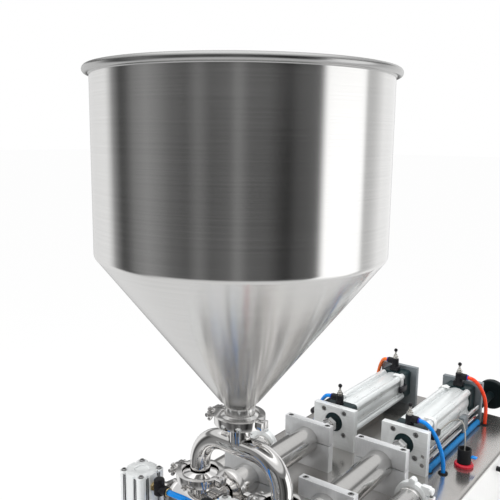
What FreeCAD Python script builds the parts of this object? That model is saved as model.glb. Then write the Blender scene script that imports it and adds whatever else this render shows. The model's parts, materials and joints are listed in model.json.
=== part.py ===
import FreeCAD, Part
import Sketcher
import math
import os

doc = FreeCAD.newDocument("piston_filler")
sheet = doc.addObject("Spreadsheet::Sheet", "Sizes")

# Sizes in millimetres. Heights count from the table top, and lengths run back from the hopper's axis.
driving_sizes = [
    ("run_fit", 0.05, "radial clearance of a piece that runs in a bore"),
    ("rest_gap", 0.3, "gap between pieces that don't touch"),
    ("table_w", 410, "cabinet width"),
    ("table_front", -78, "cabinet's front face"),
    ("table_back", 785, "cabinet's rear face"),
    ("cab_h", 315, "cabinet height"),
    ("feet_h", 45, "rubber feet"),
    ("feet_inset", 45, "feet from the cabinet's sides"),
    ("sheet_t", 3, "cabinet sheet"),
    ("corner_r", 20, "cabinet's upright corners"),
    ("fold_r", 9, "rounded edge of the table top"),
    ("door_w", 230, "service opening width"),
    ("door_h", 200, "service opening height"),
    ("door_inset", 45, "service opening from the cabinet's left side"),
    ("door_z", -160, "service opening's middle height"),
    ("door_lap", 12, "door's lap round its opening"),
    ("control_z", -120, "front controls' and regulator's height"),
    ("control_x", 110, "front controls from the middle"),
    ("reg_inset", 55, "regulator from the cabinet's right side"),
    ("hop_r", 200, "hopper's outer radius"),
    ("hop_t", 1.5, "hopper sheet"),
    ("hop_rim", 709, "middle of the rolled rim"),
    ("hop_joint", 470, "where the cone meets the cylinder"),
    ("cone_end", 262, "where the cone meets the neck"),
    ("neck_r", 19.5, "neck's outer radius"),
    ("bead_r", 5.2, "rolled rim"),
    ("hop_clamp_z", 225, "hopper's clamp joint"),
    ("fer_r", 32, "ferrule radius"),
    ("fer_t", 2.3, "ferrule edge"),
    ("fer_cone", 4.2, "ferrule's tapered back"),
    ("gasket_t", 1.5, "clamp gasket"),
    ("clamp_r", 37.3, "clamp ring's outer radius"),
    ("clamp_w", 12.8, "clamp ring width"),
    ("clamp_gap", 2.4, "split of the clamp ring"),
    ("lug_out", 11, "clamp lug beyond the ring"),
    ("bolt_r", 3, "clamp bolt"),
    ("line_x", 77, "each filling line's axis from the middle"),
    ("line_z", 54, "each filling line's axis above the table"),
    ("pipe_r", 15.7, "manifold pipe's outer radius"),
    ("pipe_t", 1.5, "manifold pipe wall"),
    ("crown_z", 182, "manifold's crossing pipe"),
    ("bend_r", 48, "manifold bend at the pipe's middle"),
    ("inlet_z", 111, "clamp joint on top of each valve"),
    ("port_y", 67, "valve's front and rear clamp joints"),
    ("valve_r", 35, "valve barrel's outer radius"),
    ("valve_half", 38, "half of the valve barrel"),
    ("bore_r", 25, "valve bore"),
    ("port_r", 14, "port bore"),
    ("cover_t", 8, "valve cover"),
    ("stem_r", 8, "valve stem"),
    ("lever_x", 78, "lever plane from the line's axis"),
    ("lever_t", 8, "lever plate"),
    ("cam_r", 23, "base circle of the lever's slot"),
    ("cam_start", 3, "pin from the base circle's foot when the rod is out"),
    ("pin_r", 3.5, "clevis pin"),
    ("slot_wall", 4, "lever metal beside the slot"),
    ("vcyl_r", 22, "valve cylinder's outer radius"),
    ("vcyl_front", 108, "valve cylinder's front end"),
    ("vcyl_back", 285, "valve cylinder's rear end"),
    ("vrod_r", 6, "valve cylinder rod"),
    ("foot_r", 29.5, "valve cylinder's clamp ring"),
    ("foot_t", 12, "clamp ring along the cylinder"),
    ("foot_y", 268, "clamp ring's front face"),
    ("foot_w", 34, "clamp ring's foot width"),
    ("tube_r", 25.4, "product tube's outer radius"),
    ("tube_in", 24, "product tube's bore"),
    ("tube_back", 332, "product tube's open rear end"),
    ("block_w", 100, "tube block width"),
    ("block_t", 15, "tube block along the tube"),
    ("block_h", 91, "tube block height"),
    ("front_block", 119, "front tube block's front face"),
    ("rear_block", 305, "rear tube block's front face"),
    ("split_gap", 2, "gap between a tube block's halves"),
    ("block_screw", 41, "tube block screw from the line's axis"),
    ("plate_w", 94, "drive cylinder's front plate width"),
    ("plate_t", 14, "front plate"),
    ("plate_y", 407, "front plate's front face"),
    ("plate_h", 87, "front plate height"),
    ("boss_r", 19.7, "front cap's boss"),
    ("bolt_half", 23.25, "half of the drive cylinder's bolt pitch"),
    ("cap_half", 31, "half of the end cap"),
    ("cap_r", 7, "end cap's rounded edges"),
    ("front_cap", 28, "front cap length"),
    ("rear_cap_y", 680, "rear cap's front face"),
    ("rear_plate_y", 712, "rear plate's front face"),
    ("rear_plate_w", 90, "rear plate width"),
    ("rear_plate_t", 12, "rear plate"),
    ("rear_plate_h", 93, "rear plate height"),
    ("drive_bore", 25, "drive cylinder's bore radius"),
    ("barrel_r", 28.6, "drive barrel's round wall"),
    ("lobe_r", 7.6, "drive barrel's corner lobes"),
    ("rod_r", 10, "piston rod"),
    ("piston_t", 30, "product piston length"),
    ("drive_t", 28, "drive piston length"),
    ("stroke", 180, "piston stroke"),
    ("nut_y", 384, "coupling nut's front face"),
    ("nut_t", 12, "coupling nut"),
    ("guide_x", 38.5, "stroke screw and guide rod from the line's axis"),
    ("screw_z", 38, "stroke screw above the table"),
    ("guide_z", 21, "guide rod above the table"),
    ("guide_r", 4, "stroke screw and guide rod"),
    ("wheel_y", 800, "handwheel's front face"),
    ("wheel_t", 18, "handwheel rim"),
    ("wheel_r", 34, "handwheel radius"),
    ("wheel_hub", 9, "handwheel's hub radius"),
    ("slide_y", 610, "switch slide's front face"),
    ("slide_l", 26, "switch slide length"),
    ("front_port", 429.5, "front throttle"),
    ("rear_port", 690, "rear throttle"),
    ("throttle_r", 8, "throttle body"),
    ("throttle_h", 20, "front throttle body height"),
    ("rear_lift", 10, "rear throttle body above the front one's"),
    ("arm_l", 18, "throttle arm from its axis"),
    ("collar_h", 9, "throttle's hexagon collar"),
    ("knob_lift", 20, "throttle knob's middle above its body"),
    ("knob_r", 4.2, "throttle knob"),
    ("nozzle_y", -122, "nozzle axis"),
    ("act_w", 45, "nozzle actuator width"),
    ("act_top", 170, "nozzle actuator's top"),
    ("act_h", 66, "nozzle actuator height"),
    ("act_bolt", 17, "half of the nozzle actuator's bolt pitch"),
    ("nozzle_r", 17, "nozzle body's outer radius"),
    ("nozzle_tip", -92, "nozzle tip"),
    ("plunger_r", 5, "nozzle plunger rod"),
    ("act_round", 5, "nozzle actuator's upright corners"),
    ("hose_r", 4, "air hose radius"),
    ("front_drop_x", 67, "front hose's hole from the line's axis"),
    ("front_drop_y", 13.5, "front hose's hole behind its throttle"),
    ("rear_drop_x", 56, "rear hose's hole from the line's axis"),
    ("rear_drop_y", 24, "rear hose's hole behind its throttle"),
    ("nozzle_drop_x", 10, "nozzle hose's hole from the middle"),
    ("nozzle_drop_y", -45, "nozzle hose's hole"),
    ("supply_x", 120, "supply hose from the middle"),
    ("supply_front", 441, "supply hose's front end"),
    ("supply_rear", 692, "supply hose's rear end"),
    ("supply_r", 6, "supply hose radius"),
    ("gland_x", 164, "cable gland from the middle"),
    ("gland_y", 498, "cable gland"),
    ("gland_r", 13, "gland's sleeve"),
    ("gland_h", 36, "gland's sleeve height"),
    ("gland_ring_r", 18.5, "gland's foot ring"),
    ("gland_ring_h", 9, "gland's foot ring height"),
    ("handle_y", 630, "carrying handles' middle"),
    ("handle_l", 110, "carrying handle length"),
    ("handle_reach", 34, "carrying handle from the cabinet's side"),
    ("handle_r", 5, "carrying handle's bar"),
    ("handle_drop", 24, "carrying handle below the table top"),
]


class Size:
    """A length that keeps its spreadsheet formula beside its value."""

    def __init__(self, text, value):
        self.text = text
        self.value = value

    def __add__(self, other):
        return Size(f"({self.text} + {text_of(other)})", self.value + value_of(other))

    def __radd__(self, other):
        return Size(f"({text_of(other)} + {self.text})", value_of(other) + self.value)

    def __sub__(self, other):
        return Size(f"({self.text} - {text_of(other)})", self.value - value_of(other))

    def __rsub__(self, other):
        return Size(f"({text_of(other)} - {self.text})", value_of(other) - self.value)

    def __mul__(self, other):
        return Size(f"({self.text} * {text_of(other)})", self.value * value_of(other))

    def __rmul__(self, other):
        return Size(f"({text_of(other)} * {self.text})", value_of(other) * self.value)

    def __truediv__(self, other):
        return Size(f"({self.text} / {text_of(other)})", self.value / value_of(other))

    def __neg__(self):
        return Size(f"(0 - {self.text})", -self.value)


def text_of(length):
    return length.text if isinstance(length, Size) else repr(length)


def value_of(length):
    return length.value if isinstance(length, Size) else length


class Sizes:
    """The spreadsheet's lengths by name."""


size = Sizes()
for row, (alias, number, meaning) in enumerate(driving_sizes, start=1):
    sheet.set(f"A{row}", meaning)
    sheet.set(f"B{row}", str(number))
    sheet.setAlias(f"B{row}", alias)
    setattr(size, alias, Size(f"Sizes.{alias}", number))
doc.recompute()

size.neck_in = size.neck_r - size.hop_t
size.hopper_front = size.hop_r - size.hop_t + size.bead_r * 2
size.table_h = size.cab_h + size.feet_h
size.door_x = size.door_inset - size.table_w / 2 + size.door_w / 2
size.reg_x = size.table_w / 2 - size.reg_inset
size.reg_out = Size("58", 58)
size.axis_y = (size.hopper_front - size.table_back - size.reg_out) / 2

turns = {
    "z": FreeCAD.Rotation(),
    "x": FreeCAD.Rotation(FreeCAD.Vector(0, 1, 0), 90),
    "y": FreeCAD.Rotation(FreeCAD.Vector(1, 0, 0), -90),
}
normal_signs = {"XY_Plane": 1, "XZ_Plane": -1, "YZ_Plane": 1}
pieces = []

screws = []
gland_place = (size.gland_x, size.gland_y)
control_xs = {"stop": size.control_x, "mode": -size.control_x}


def bind(thing, name, length):
    if isinstance(length, Size):
        thing.setExpression(name, length.text)
    else:
        thing.setExpression(name, text_of(length))


def move(thing, place):
    for axis, length in zip("xyz", place):
        bind(thing, f"Placement.Base.{axis}", length)
    return thing


def box(name, spans):
    """A block from its (low, high) span on each axis."""
    block = doc.addObject("Part::Box", name)
    for side, (low, high) in zip(("Length", "Width", "Height"), spans):
        bind(block, side, high - low)
    return move(block, [low for low, high in spans])


def cylinder(name, radius, length, place, axis="z"):
    rod = doc.addObject("Part::Cylinder", name)
    bind(rod, "Radius", radius)
    bind(rod, "Height", length)
    rod.Placement.Rotation = turns[axis]
    return move(rod, place)


def cone(name, radius_low, radius_high, length, place, axis="z"):
    taper = doc.addObject("Part::Cone", name)
    bind(taper, "Radius1", radius_low)
    bind(taper, "Radius2", radius_high)
    bind(taper, "Height", length)
    taper.Placement.Rotation = turns[axis]
    return move(taper, place)


def prism(name, flats_half, length, place, axis="z"):
    hexagon = doc.addObject("Part::Prism", name)
    hexagon.Polygon = 6
    bind(hexagon, "Circumradius", flats_half * (2 / math.sqrt(3)))
    bind(hexagon, "Height", length)
    hexagon.Placement.Rotation = turns[axis]
    return move(hexagon, place)


def fuse(name, things):
    joined = doc.addObject("Part::MultiFuse", name)
    joined.Shapes = things
    joined.Refine = True
    return joined


def cut(name, base, tools):
    tool = tools[0] if len(tools) == 1 else fuse(name + "_tools", tools)
    left = doc.addObject("Part::Cut", name)
    left.Base = base
    left.Tool = tool
    left.Refine = True
    return left


def group(name, things):
    many = doc.addObject("Part::Compound", name)
    many.Links = things
    return many


def finish(thing, name, x=0):
    """The piece takes its node's name and its place in the machine."""
    thing.Label = name
    move(thing, (x, size.axis_y, size.table_h))
    pieces.append(thing)
    return thing


def new_body(name):
    return doc.addObject("PartDesign::Body", name)


def sketch_on(body, role, level=0):
    drawing = body.newObject("Sketcher::SketchObject", body.Name + "_sketch")
    plane = [feature for feature in body.Origin.OriginFeatures if feature.Role == role][0]
    drawing.AttachmentSupport = [(plane, "")]
    drawing.MapMode = "FlatFace"
    bind(drawing, "AttachmentOffset.Base.z", level * normal_signs[role])
    return drawing


def fix_point(drawing, geometry, corner, place):
    for kind, axis, length in (("DistanceX", -2, place[0]), ("DistanceY", -1, place[1])):
        if value_of(length) == 0:
            drawing.addConstraint(Sketcher.Constraint("PointOnObject", geometry, corner, axis))
            continue
        number = drawing.addConstraint(
            Sketcher.Constraint(kind, -1, 1, geometry, corner, value_of(length))
        )
        if isinstance(length, Size):
            drawing.setExpression(f"Constraints[{number}]", length.text)


def outline(drawing, points):
    first = drawing.GeometryCount
    count = len(points)
    spots = [FreeCAD.Vector(value_of(x), value_of(y), 0) for x, y in points]
    lines = [Part.LineSegment(spots[i], spots[(i + 1) % count]) for i in range(count)]
    drawing.addGeometry(lines, False)
    for i in range(count):
        following = first + (i + 1) % count
        drawing.addConstraint(Sketcher.Constraint("Coincident", first + i, 2, following, 1))
    for i in range(count):
        fix_point(drawing, first + i, 1, points[i])


def ring(drawing, place, radius):
    centre = FreeCAD.Vector(value_of(place[0]), value_of(place[1]), 0)
    up = FreeCAD.Vector(0, 0, 1)
    number = drawing.addGeometry(Part.Circle(centre, up, value_of(radius)), False)
    at = drawing.addConstraint(Sketcher.Constraint("Radius", number, value_of(radius)))
    if isinstance(radius, Size):
        drawing.setExpression(f"Constraints[{at}]", radius.text)
    fix_point(drawing, number, 3, place)


def rectangle(drawing, low, high):
    outline(drawing, [low, (high[0], low[1]), high, (low[0], high[1])])


def role_of(drawing):
    return drawing.AttachmentSupport[0][0].Role


def pad(body, drawing, length, towards):
    solid = body.newObject("PartDesign::Pad", body.Name + "_pad")
    solid.Profile = drawing
    bind(solid, "Length", length)
    solid.Reversed = towards != normal_signs[role_of(drawing)]
    return solid


def pocket(body, drawing, length, towards):
    """Removes the outline's prism, and stops if nothing was removed."""
    doc.recompute()
    before = body.Shape.Volume
    hole = body.newObject("PartDesign::Pocket", body.Name + "_pocket")
    hole.Profile = drawing
    bind(hole, "Length", length)
    hole.Reversed = towards == normal_signs[role_of(drawing)]
    doc.recompute()
    if body.Shape.Volume > before - 0.001:
        raise ValueError(f"{body.Name}: the pocket removes nothing")
    return hole


def revolve(body, drawing, axis="V_Axis"):
    solid = body.newObject("PartDesign::Revolution", body.Name + "_turned")
    solid.Profile = drawing
    solid.ReferenceAxis = (drawing, [axis])
    solid.Angle = 360
    return solid


def round_edges(body, base, radius, wanted):
    """Fillets the edges of base that wanted() picks."""
    doc.recompute()
    names = [f"Edge{i}" for i, edge in enumerate(base.Shape.Edges, start=1) if wanted(edge)]
    fillet = body.newObject("PartDesign::Fillet", body.Name + "_fillet")
    fillet.Base = (base, names)
    bind(fillet, "Radius", radius)
    doc.recompute()
    return fillet


def is_upright(edge):
    ends = edge.BoundBox
    return ends.ZLength > 1 and ends.XLength < 0.01 and ends.YLength < 0.01


def along(axis):
    """Picks straight edges that run along one axis."""

    def wanted(edge):
        ends = edge.BoundBox
        lengths = {"x": ends.XLength, "y": ends.YLength, "z": ends.ZLength}
        return lengths[axis] > 1 and sum(lengths.values()) - lengths[axis] < 0.01

    return wanted


def folded_box(name, inset):
    """The cabinet's rounded block, drawn in by inset on every side."""
    half = size.table_w / 2 - inset
    body = new_body(name)
    plan = sketch_on(body, "XY_Plane", inset - size.cab_h)
    rectangle(plan, (-half, size.table_front + inset), (half, size.table_back - inset))
    block = pad(body, plan, size.cab_h - inset * 2, 1)
    corners = round_edges(body, block, size.corner_r - inset, is_upright)
    ceiling = -value_of(inset) - 0.01
    body.Tip = round_edges(body, corners, size.fold_r - inset, lambda edge: edge.BoundBox.ZMin > ceiling)
    return body


def cabinet():
    """Folded sheet cabinet whose lid is the working table, with its welded door hinges."""
    shell = folded_box("cabinet_outside", 0)
    room = folded_box("cabinet_inside", size.sheet_t)
    low_x, high_x, low_z, high_z = door_edges(0)
    back = size.table_back
    door_hole = box("cabinet_door_hole", [(low_x, high_x), (back - 30, back + 1), (low_z, high_z)])
    tools = [room, door_hole]
    for number, (hole_x, hole_y) in enumerate(hose_holes()):
        spot = (hole_x, hole_y, -20)
        tools.append(cylinder(f"cabinet_hose_hole_{number}", size.hose_r + 2.5, 21, spot, "z"))
    tools.append(cylinder("cabinet_gland_hole", size.gland_r - 3, 21, (*gland_place, -20), "z"))
    for name, x in control_xs.items():
        spot = (x, size.table_front - 1, size.control_z)
        tools.append(cylinder(f"cabinet_{name}_hole", 11.2, 12, spot, "y"))
    sheet_metal = cut("cabinet_sheet", shell, tools)
    return finish(fuse("cabinet_all", [sheet_metal] + hinge_brackets()), "cabinet")


def hose_holes():
    """The table's six hose holes: front and rear throttle and nozzle hose on each side."""
    holes = []
    for side in (-1, 1):
        front_x = side * (size.line_x + size.front_drop_x)
        rear_x = side * (size.line_x + size.rear_drop_x)
        holes.append((front_x, size.front_port + size.front_drop_y))
        holes.append((rear_x, size.rear_port + size.rear_drop_y))
        holes.append((side * size.nozzle_drop_x, size.nozzle_drop_y))
    return holes


def door_edges(lap):
    """Left, right, lower and upper edges of the service opening, or of the door that laps it."""
    wide = size.door_w / 2 + lap
    high = size.door_h / 2 + lap
    return size.door_x - wide, size.door_x + wide, size.door_z - high, size.door_z + high


def service_door():
    """Rear door on an upright pin, with a pull."""
    back = size.table_back + size.rest_gap
    low_x, high_x, low_z, high_z = door_edges(size.door_lap)
    panel = box("door_panel", [(low_x, high_x), (back, back + 2), (low_z, high_z)])
    pin = cylinder("door_pin", 4, high_z - low_z, (low_x - 3, back + 4, low_z), "z")
    leaf = box("door_leaf", [(low_x - 3, low_x + 2), (back + 0.5, back + 4), (low_z, high_z)])
    pull_x = high_x - 22
    neck = cylinder("door_neck", 5, 8, (pull_x, back + 1, size.door_z), "y")
    knob = cylinder("door_knob", 9, 10, (pull_x, back + 7, size.door_z), "y")
    return finish(fuse("door_all", [panel, pin, leaf, neck, knob]), "service_door")


def hinge_brackets():
    """Two brackets on the rear face that carry the door's pin."""
    back = size.table_back
    low_x, high_x, low_z, high_z = door_edges(size.door_lap)
    pin_y = back + size.rest_gap + 4
    thick = 8
    gap = size.rest_gap
    brackets = []
    for name, low in (("low", low_z - gap - thick), ("high", high_z + gap)):
        spans = [(low_x - 15, low_x + 3), (back - 0.5, pin_y + 5), (low, low + thick)]
        brackets.append(box(f"hinge_{name}", spans))
    return brackets


def feet():
    """Four rubber feet under the corners."""
    legs = []
    inset = size.feet_inset
    pad_h = size.feet_h / 2
    for x in (inset - size.table_w / 2, size.table_w / 2 - inset):
        for y in (size.table_front + inset, size.table_back - inset):
            number = len(legs)
            pad_part = cone(f"foot_pad_{number}", 19, 15, pad_h, (x, y, -size.table_h), "z")
            stud = cylinder(f"foot_stud_{number}", 7, pad_h + 1, (x, y, -size.cab_h - pad_h - 1), "z")
            flange = cylinder(f"foot_flange_{number}", 16, 4, (x, y, -size.cab_h - 4), "z")
            legs.append(fuse(f"foot_{number}", [pad_part, stud, flange]))
    return finish(group("feet_all", legs), "feet")


def handles():
    """A bow handle of bent bar on each side of the cabinet."""
    bows = []
    low_y = (size.handle_y - size.handle_l / 2).value
    high_y = (size.handle_y + size.handle_l / 2).value
    level = -size.handle_drop.value
    for side in (-1, 1):
        wall = side * (size.table_w / 2).value
        out = wall + side * size.handle_reach.value
        points = [(wall, low_y, level), (out, low_y, level), (out, high_y, level), (wall, high_y, level)]
        bar, length, radii = bent_bar(f"handle_{side}", points, size.handle_r)
        bows.append(bar)
    return finish(group("handles_all", bows), "side_handles")


def push_control(name, points):
    """A turned control that stands in a hole of the front face; points are (out, radius)."""
    body = new_body(name)
    drawing = sketch_on(body, "XY_Plane", 0)
    outline(drawing, [(radius, -out) for out, radius in points])
    revolve(body, drawing)
    return body


def controls():
    """Mushroom stop button and mode switch on the front face."""
    outlines = {
        "stop": [(-14, 0), (-14, 11), (4, 11), (4, 12), (16, 12), (17, 20), (24, 20), (29, 13), (30, 0)],
        "mode": [(-14, 0), (-14, 11), (0.3, 11), (0.3, 14), (6, 14), (6, 0)],
    }
    for name, points in outlines.items():
        body = push_control("control_" + name, points)
        move(body, (control_xs[name], size.table_front, size.control_z))
        parts = [body]
        if name == "mode":
            x, z = control_xs[name], size.control_z
            spans = [(x - 4, x + 4), (size.table_front - 18, size.table_front - 5), (z - 13, z + 13)]
            parts = [fuse("mode_turned", [body, box("mode_grip", spans)])]
        node = {"stop": "stop_button", "mode": "mode_knob"}[name]
        finish(group(node + "_all", parts), node)


def air_regulator():
    """Filter regulator with a bowl and a round gauge on the rear face."""
    x = size.reg_x
    back = size.table_back
    z = size.control_z
    block = box("reg_block", [(x - 20, x + 20), (back, back + 46), (z - 22, z + 22)])
    bowl = cylinder("reg_bowl", 17, 58, (x, back + 24, z - 78), "z")
    tip = cone("reg_tip", 6, 17, 8, (x, back + 24, z - 86), "z")
    gauge = cylinder("reg_gauge", 19, 14, (x, back + 44, z), "y")
    face = cylinder("reg_face", 16.5, 3, (x, back + 56.5, z), "y")
    neck = cylinder("reg_neck", 13, 8, (x, back + 24, z + 20), "z")
    body = fuse("reg_body", [block, bowl, tip, gauge, neck])
    return finish(cut("reg_all", body, [face]), "air_regulator")


def regulator_knob():
    """Ribbed cap that turns on the regulator's neck."""
    x = size.reg_x
    y = size.table_back + 24
    z = size.control_z + 28
    cap = cylinder("regknob_cap", 16, 24, (x, y, z + size.rest_gap), "z")
    flutes = []
    for i in range(10):
        angle = math.radians(36 * i)
        spot = (x + 17.2 * math.cos(angle), y + 17.2 * math.sin(angle), z)
        flutes.append(cylinder(f"regknob_flute_{i}", 2.6, 26, spot, "z"))
    return finish(cut("regknob_all", cap, flutes), "regulator_knob")


def sensor_gland():
    """Hollow sleeve with a red foot ring, where the switch cables go through the table."""
    x, y = gland_place
    ring_r = size.gland_ring_r
    foot = cone("gland_foot", ring_r, ring_r - 3, size.gland_ring_h, (x, y, 0), "z")
    foot_bore = cylinder("gland_foot_bore", size.gland_r, size.gland_ring_h + 2, (x, y, -1), "z")
    sleeve = cylinder("gland_sleeve", size.gland_r, size.gland_h, (x, y, 0), "z")
    bore = cylinder("gland_bore", size.gland_r - 3, size.gland_h + 2, (x, y, -1), "z")
    ring_part = cut("gland_ring", foot, [foot_bore])
    tube = cut("gland_tube", sleeve, [bore])
    return finish(group("gland_all", [ring_part, tube]), "sensor_gland")


def hopper():
    """Sheet hopper: cylinder, cone, neck and clamp ferrule in one turned profile, with a rolled rim."""
    base = size.hop_clamp_z + size.gasket_t / 2
    wall = size.hop_t
    body = new_body("hopper_body")
    profile = sketch_on(body, "XZ_Plane", 0)
    outline(profile, [
        (size.neck_r - wall, base),
        (size.fer_r, base),
        (size.fer_r, base + size.fer_t),
        (size.neck_r, base + size.fer_t + size.fer_cone),
        (size.neck_r, size.cone_end),
        (size.hop_r, size.hop_joint),
        (size.hop_r, size.hop_rim),
        (size.hop_r - wall, size.hop_rim),
        (size.hop_r - wall, size.hop_joint + 0.6),
        (size.neck_r - wall, size.cone_end + 0.6),
    ])
    revolve(body, profile)
    rim = sketch_on(body, "XZ_Plane", 0)
    ring(rim, (size.hop_r - wall + size.bead_r, size.hop_rim), size.bead_r)
    revolve(body, rim)
    return finish(body, "hopper")


def clamp_parts(name):
    """A hinged clamp ring about Z: two halves, the hinge pin and the swing bolt."""
    wide = size.clamp_w
    half = wide / 2
    reach = size.clamp_r + size.lug_out
    body = new_body(name + "_ring")
    profile = sketch_on(body, "XZ_Plane", 0)
    lip = size.fer_r - 3.5
    outline(profile, [
        (size.clamp_r, -half), (size.clamp_r, half), (lip, half), (lip, half - 1.6),
        (size.fer_r + 0.5, half - 3.1), (size.fer_r + 0.5, 3.1 - half),
        (lip, 1.6 - half), (lip, -half),
    ])
    revolve(body, profile)
    bar = box(name + "_bar", [(-reach, reach - 3), (-8, 8), (1 - half, half - 1)])
    core = cylinder(name + "_core", size.clamp_r - 2, wide, (0, 0, -half), "z")
    lugs = cut(name + "_lugs", bar, [core])
    split = size.clamp_gap / 2
    slit = box(name + "_slit", [(-reach - 1, reach + 1), (-split, split), (-half - 1, half + 1)])
    bolt_x = -size.clamp_r - 6
    hole = cylinder(name + "_hole", size.bolt_r, 20, (bolt_x, -10, 0), "y")
    pin_x = size.clamp_r + 4
    pin_hole = cylinder(name + "_pinhole", 3, wide + 2, (pin_x, 0, -half - 1), "z")
    halves = cut(name + "_halves", fuse(name + "_solid", [body, lugs]), [slit, hole, pin_hole])
    pin = cylinder(name + "_pin", 3, wide, (pin_x, 0, -half), "z")
    shank = cylinder(name + "_shank", size.bolt_r, 34, (bolt_x, -24, 0), "y")
    head = cylinder(name + "_head", size.bolt_r + 2, 4, (bolt_x, 8, 0), "y")
    bolt = fuse(name + "_bolt", [shank, head])
    return [halves, pin, bolt]


def wing_nut(name):
    """A wing nut about Y in front of the clamp's lug."""
    bolt_x = -size.clamp_r - 6
    hub = cylinder(name + "_hub", 6.5, 9, (bolt_x, -17.3, 0), "y")
    wings = []
    for side in (-1, 1):
        rise = (3, 15) if side > 0 else (-15, -3)
        wings.append(box(f"{name}_wing_{side}", [(bolt_x - 2, bolt_x + 2), (-20.3, -11.3), rise]))
    bore = cylinder(name + "_bore", size.bolt_r + size.run_fit, 24, (bolt_x, -24, 0), "y")
    return cut(name + "_nut", fuse(name + "_solid", [hub] + wings), [bore])


def turned_place(thing, place, rotation):
    thing.Placement.Rotation = rotation
    return move(thing, place)


upright = FreeCAD.Rotation()
level_y = FreeCAD.Rotation(FreeCAD.Vector(1, 0, 0), -90)


def clamps():
    """The hopper's clamp, and the clamps on the valves' inlets and their front and rear ports."""
    line_places = [(side * size.line_x, 0, size.inlet_z, upright) for side in (-1, 1)]
    for side in (-1, 1):
        line_places += [(side * size.line_x, end * size.port_y, size.line_z, level_y) for end in (-1, 1)]
    hopper_places = [(0, 0, size.hop_clamp_z, upright)]
    nuts = []
    for node, places in (("hopper_clamp", hopper_places), ("line_clamps", line_places)):
        rings = []
        for number, (x, y, z, rotation) in enumerate(places):
            tag = f"{node}_{number}"
            parts = group(tag + "_parts", clamp_parts(tag))
            rings.append(turned_place(parts, (x, y, z), rotation))
            nuts.append(turned_place(wing_nut(tag + "_wing"), (x, y, z), rotation))
        finish(group(node + "_all", rings), node)
    finish(group("wing_nuts_all", nuts), "clamp_wing_nuts")


def gaskets():
    """Seven flat rings between the ferrules."""
    rings = []
    places = [(0, 0, size.hop_clamp_z, "z")]
    for side in (-1, 1):
        places.append((side * size.line_x, 0, size.inlet_z, "z"))
        places.append((side * size.line_x, size.port_y, size.line_z, "y"))
        places.append((side * size.line_x, -size.port_y, size.line_z, "y"))
    for number, (x, y, z, axis) in enumerate(places):
        half = size.gasket_t / 2
        low = (x, y, z - half) if axis == "z" else (x, y - half, z)
        outer = cylinder(f"gasket_{number}_outer", size.fer_r - 0.5, size.gasket_t, low, axis)
        inner_r = size.neck_r - size.hop_t if number == 0 else size.port_r
        inner = cylinder(f"gasket_{number}_inner", inner_r, size.gasket_t, low, axis)
        rings.append(cut(f"gasket_{number}", outer, [inner]))
    return finish(group("gaskets_all", rings), "clamp_gaskets")


def ferrule(name, place, axis, towards, neck):
    """A clamp ferrule whose flat face is at place and whose neck goes the other way."""
    x, y, z = place
    if axis == "z":
        low = z - size.fer_t if towards > 0 else z
        cone_low = z - size.fer_t - size.fer_cone if towards > 0 else z + size.fer_t
        disc = cylinder(name + "_disc", size.fer_r, size.fer_t, (x, y, low), "z")
        radii = (neck, size.fer_r) if towards > 0 else (size.fer_r, neck)
        back = cone(name + "_back", radii[0], radii[1], size.fer_cone, (x, y, cone_low), "z")
        return [disc, back]
    low = y - size.fer_t if towards > 0 else y
    cone_low = y - size.fer_t - size.fer_cone if towards > 0 else y + size.fer_t
    disc = cylinder(name + "_disc", size.fer_r, size.fer_t, (x, low, z), "y")
    radii = (neck, size.fer_r) if towards > 0 else (size.fer_r, neck)
    back = cone(name + "_back", radii[0], radii[1], size.fer_cone, (x, cone_low, z), "y")
    return [disc, back]


def arch_line():
    """The manifold's middle line in the upright plane across the machine: leg, bend, crown, bend, leg."""
    foot = size.inlet_z + size.gasket_t / 2
    bend_z = size.crown_z - size.bend_r
    bend_x = size.line_x - size.bend_r
    line = doc.addObject("Sketcher::SketchObject", "arch_line")
    line.Placement.Rotation = FreeCAD.Rotation(FreeCAD.Vector(1, 0, 0), 90)
    up = FreeCAD.Vector(0, 0, 1)

    def spot(x, z):
        return FreeCAD.Vector(value_of(x), value_of(z), 0)

    bend = value_of(size.bend_r)
    left = Part.Circle(spot(-bend_x, bend_z), up, bend)
    right = Part.Circle(spot(bend_x, bend_z), up, bend)
    line.addGeometry([
        Part.LineSegment(spot(-size.line_x, foot), spot(-size.line_x, bend_z)),
        Part.ArcOfCircle(left, math.pi / 2, math.pi),
        Part.LineSegment(spot(-bend_x, size.crown_z), spot(bend_x, size.crown_z)),
        Part.ArcOfCircle(right, 0, math.pi / 2),
        Part.LineSegment(spot(size.line_x, bend_z), spot(size.line_x, foot)),
    ], False)
    for first, corner, second, other in ((0, 2, 1, 2), (1, 1, 2, 1), (2, 2, 3, 2), (3, 1, 4, 1)):
        line.addConstraint(Sketcher.Constraint("Coincident", first, corner, second, other))
    fix_point(line, 0, 1, (-size.line_x, foot))
    fix_point(line, 0, 2, (-size.line_x, bend_z))
    fix_point(line, 2, 1, (-bend_x, size.crown_z))
    fix_point(line, 2, 2, (bend_x, size.crown_z))
    fix_point(line, 4, 1, (size.line_x, bend_z))
    fix_point(line, 4, 2, (size.line_x, foot))
    for arc in (1, 3):
        number = line.addConstraint(Sketcher.Constraint("Radius", arc, bend))
        line.setExpression(f"Constraints[{number}]", size.bend_r.text)
    return line


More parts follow.
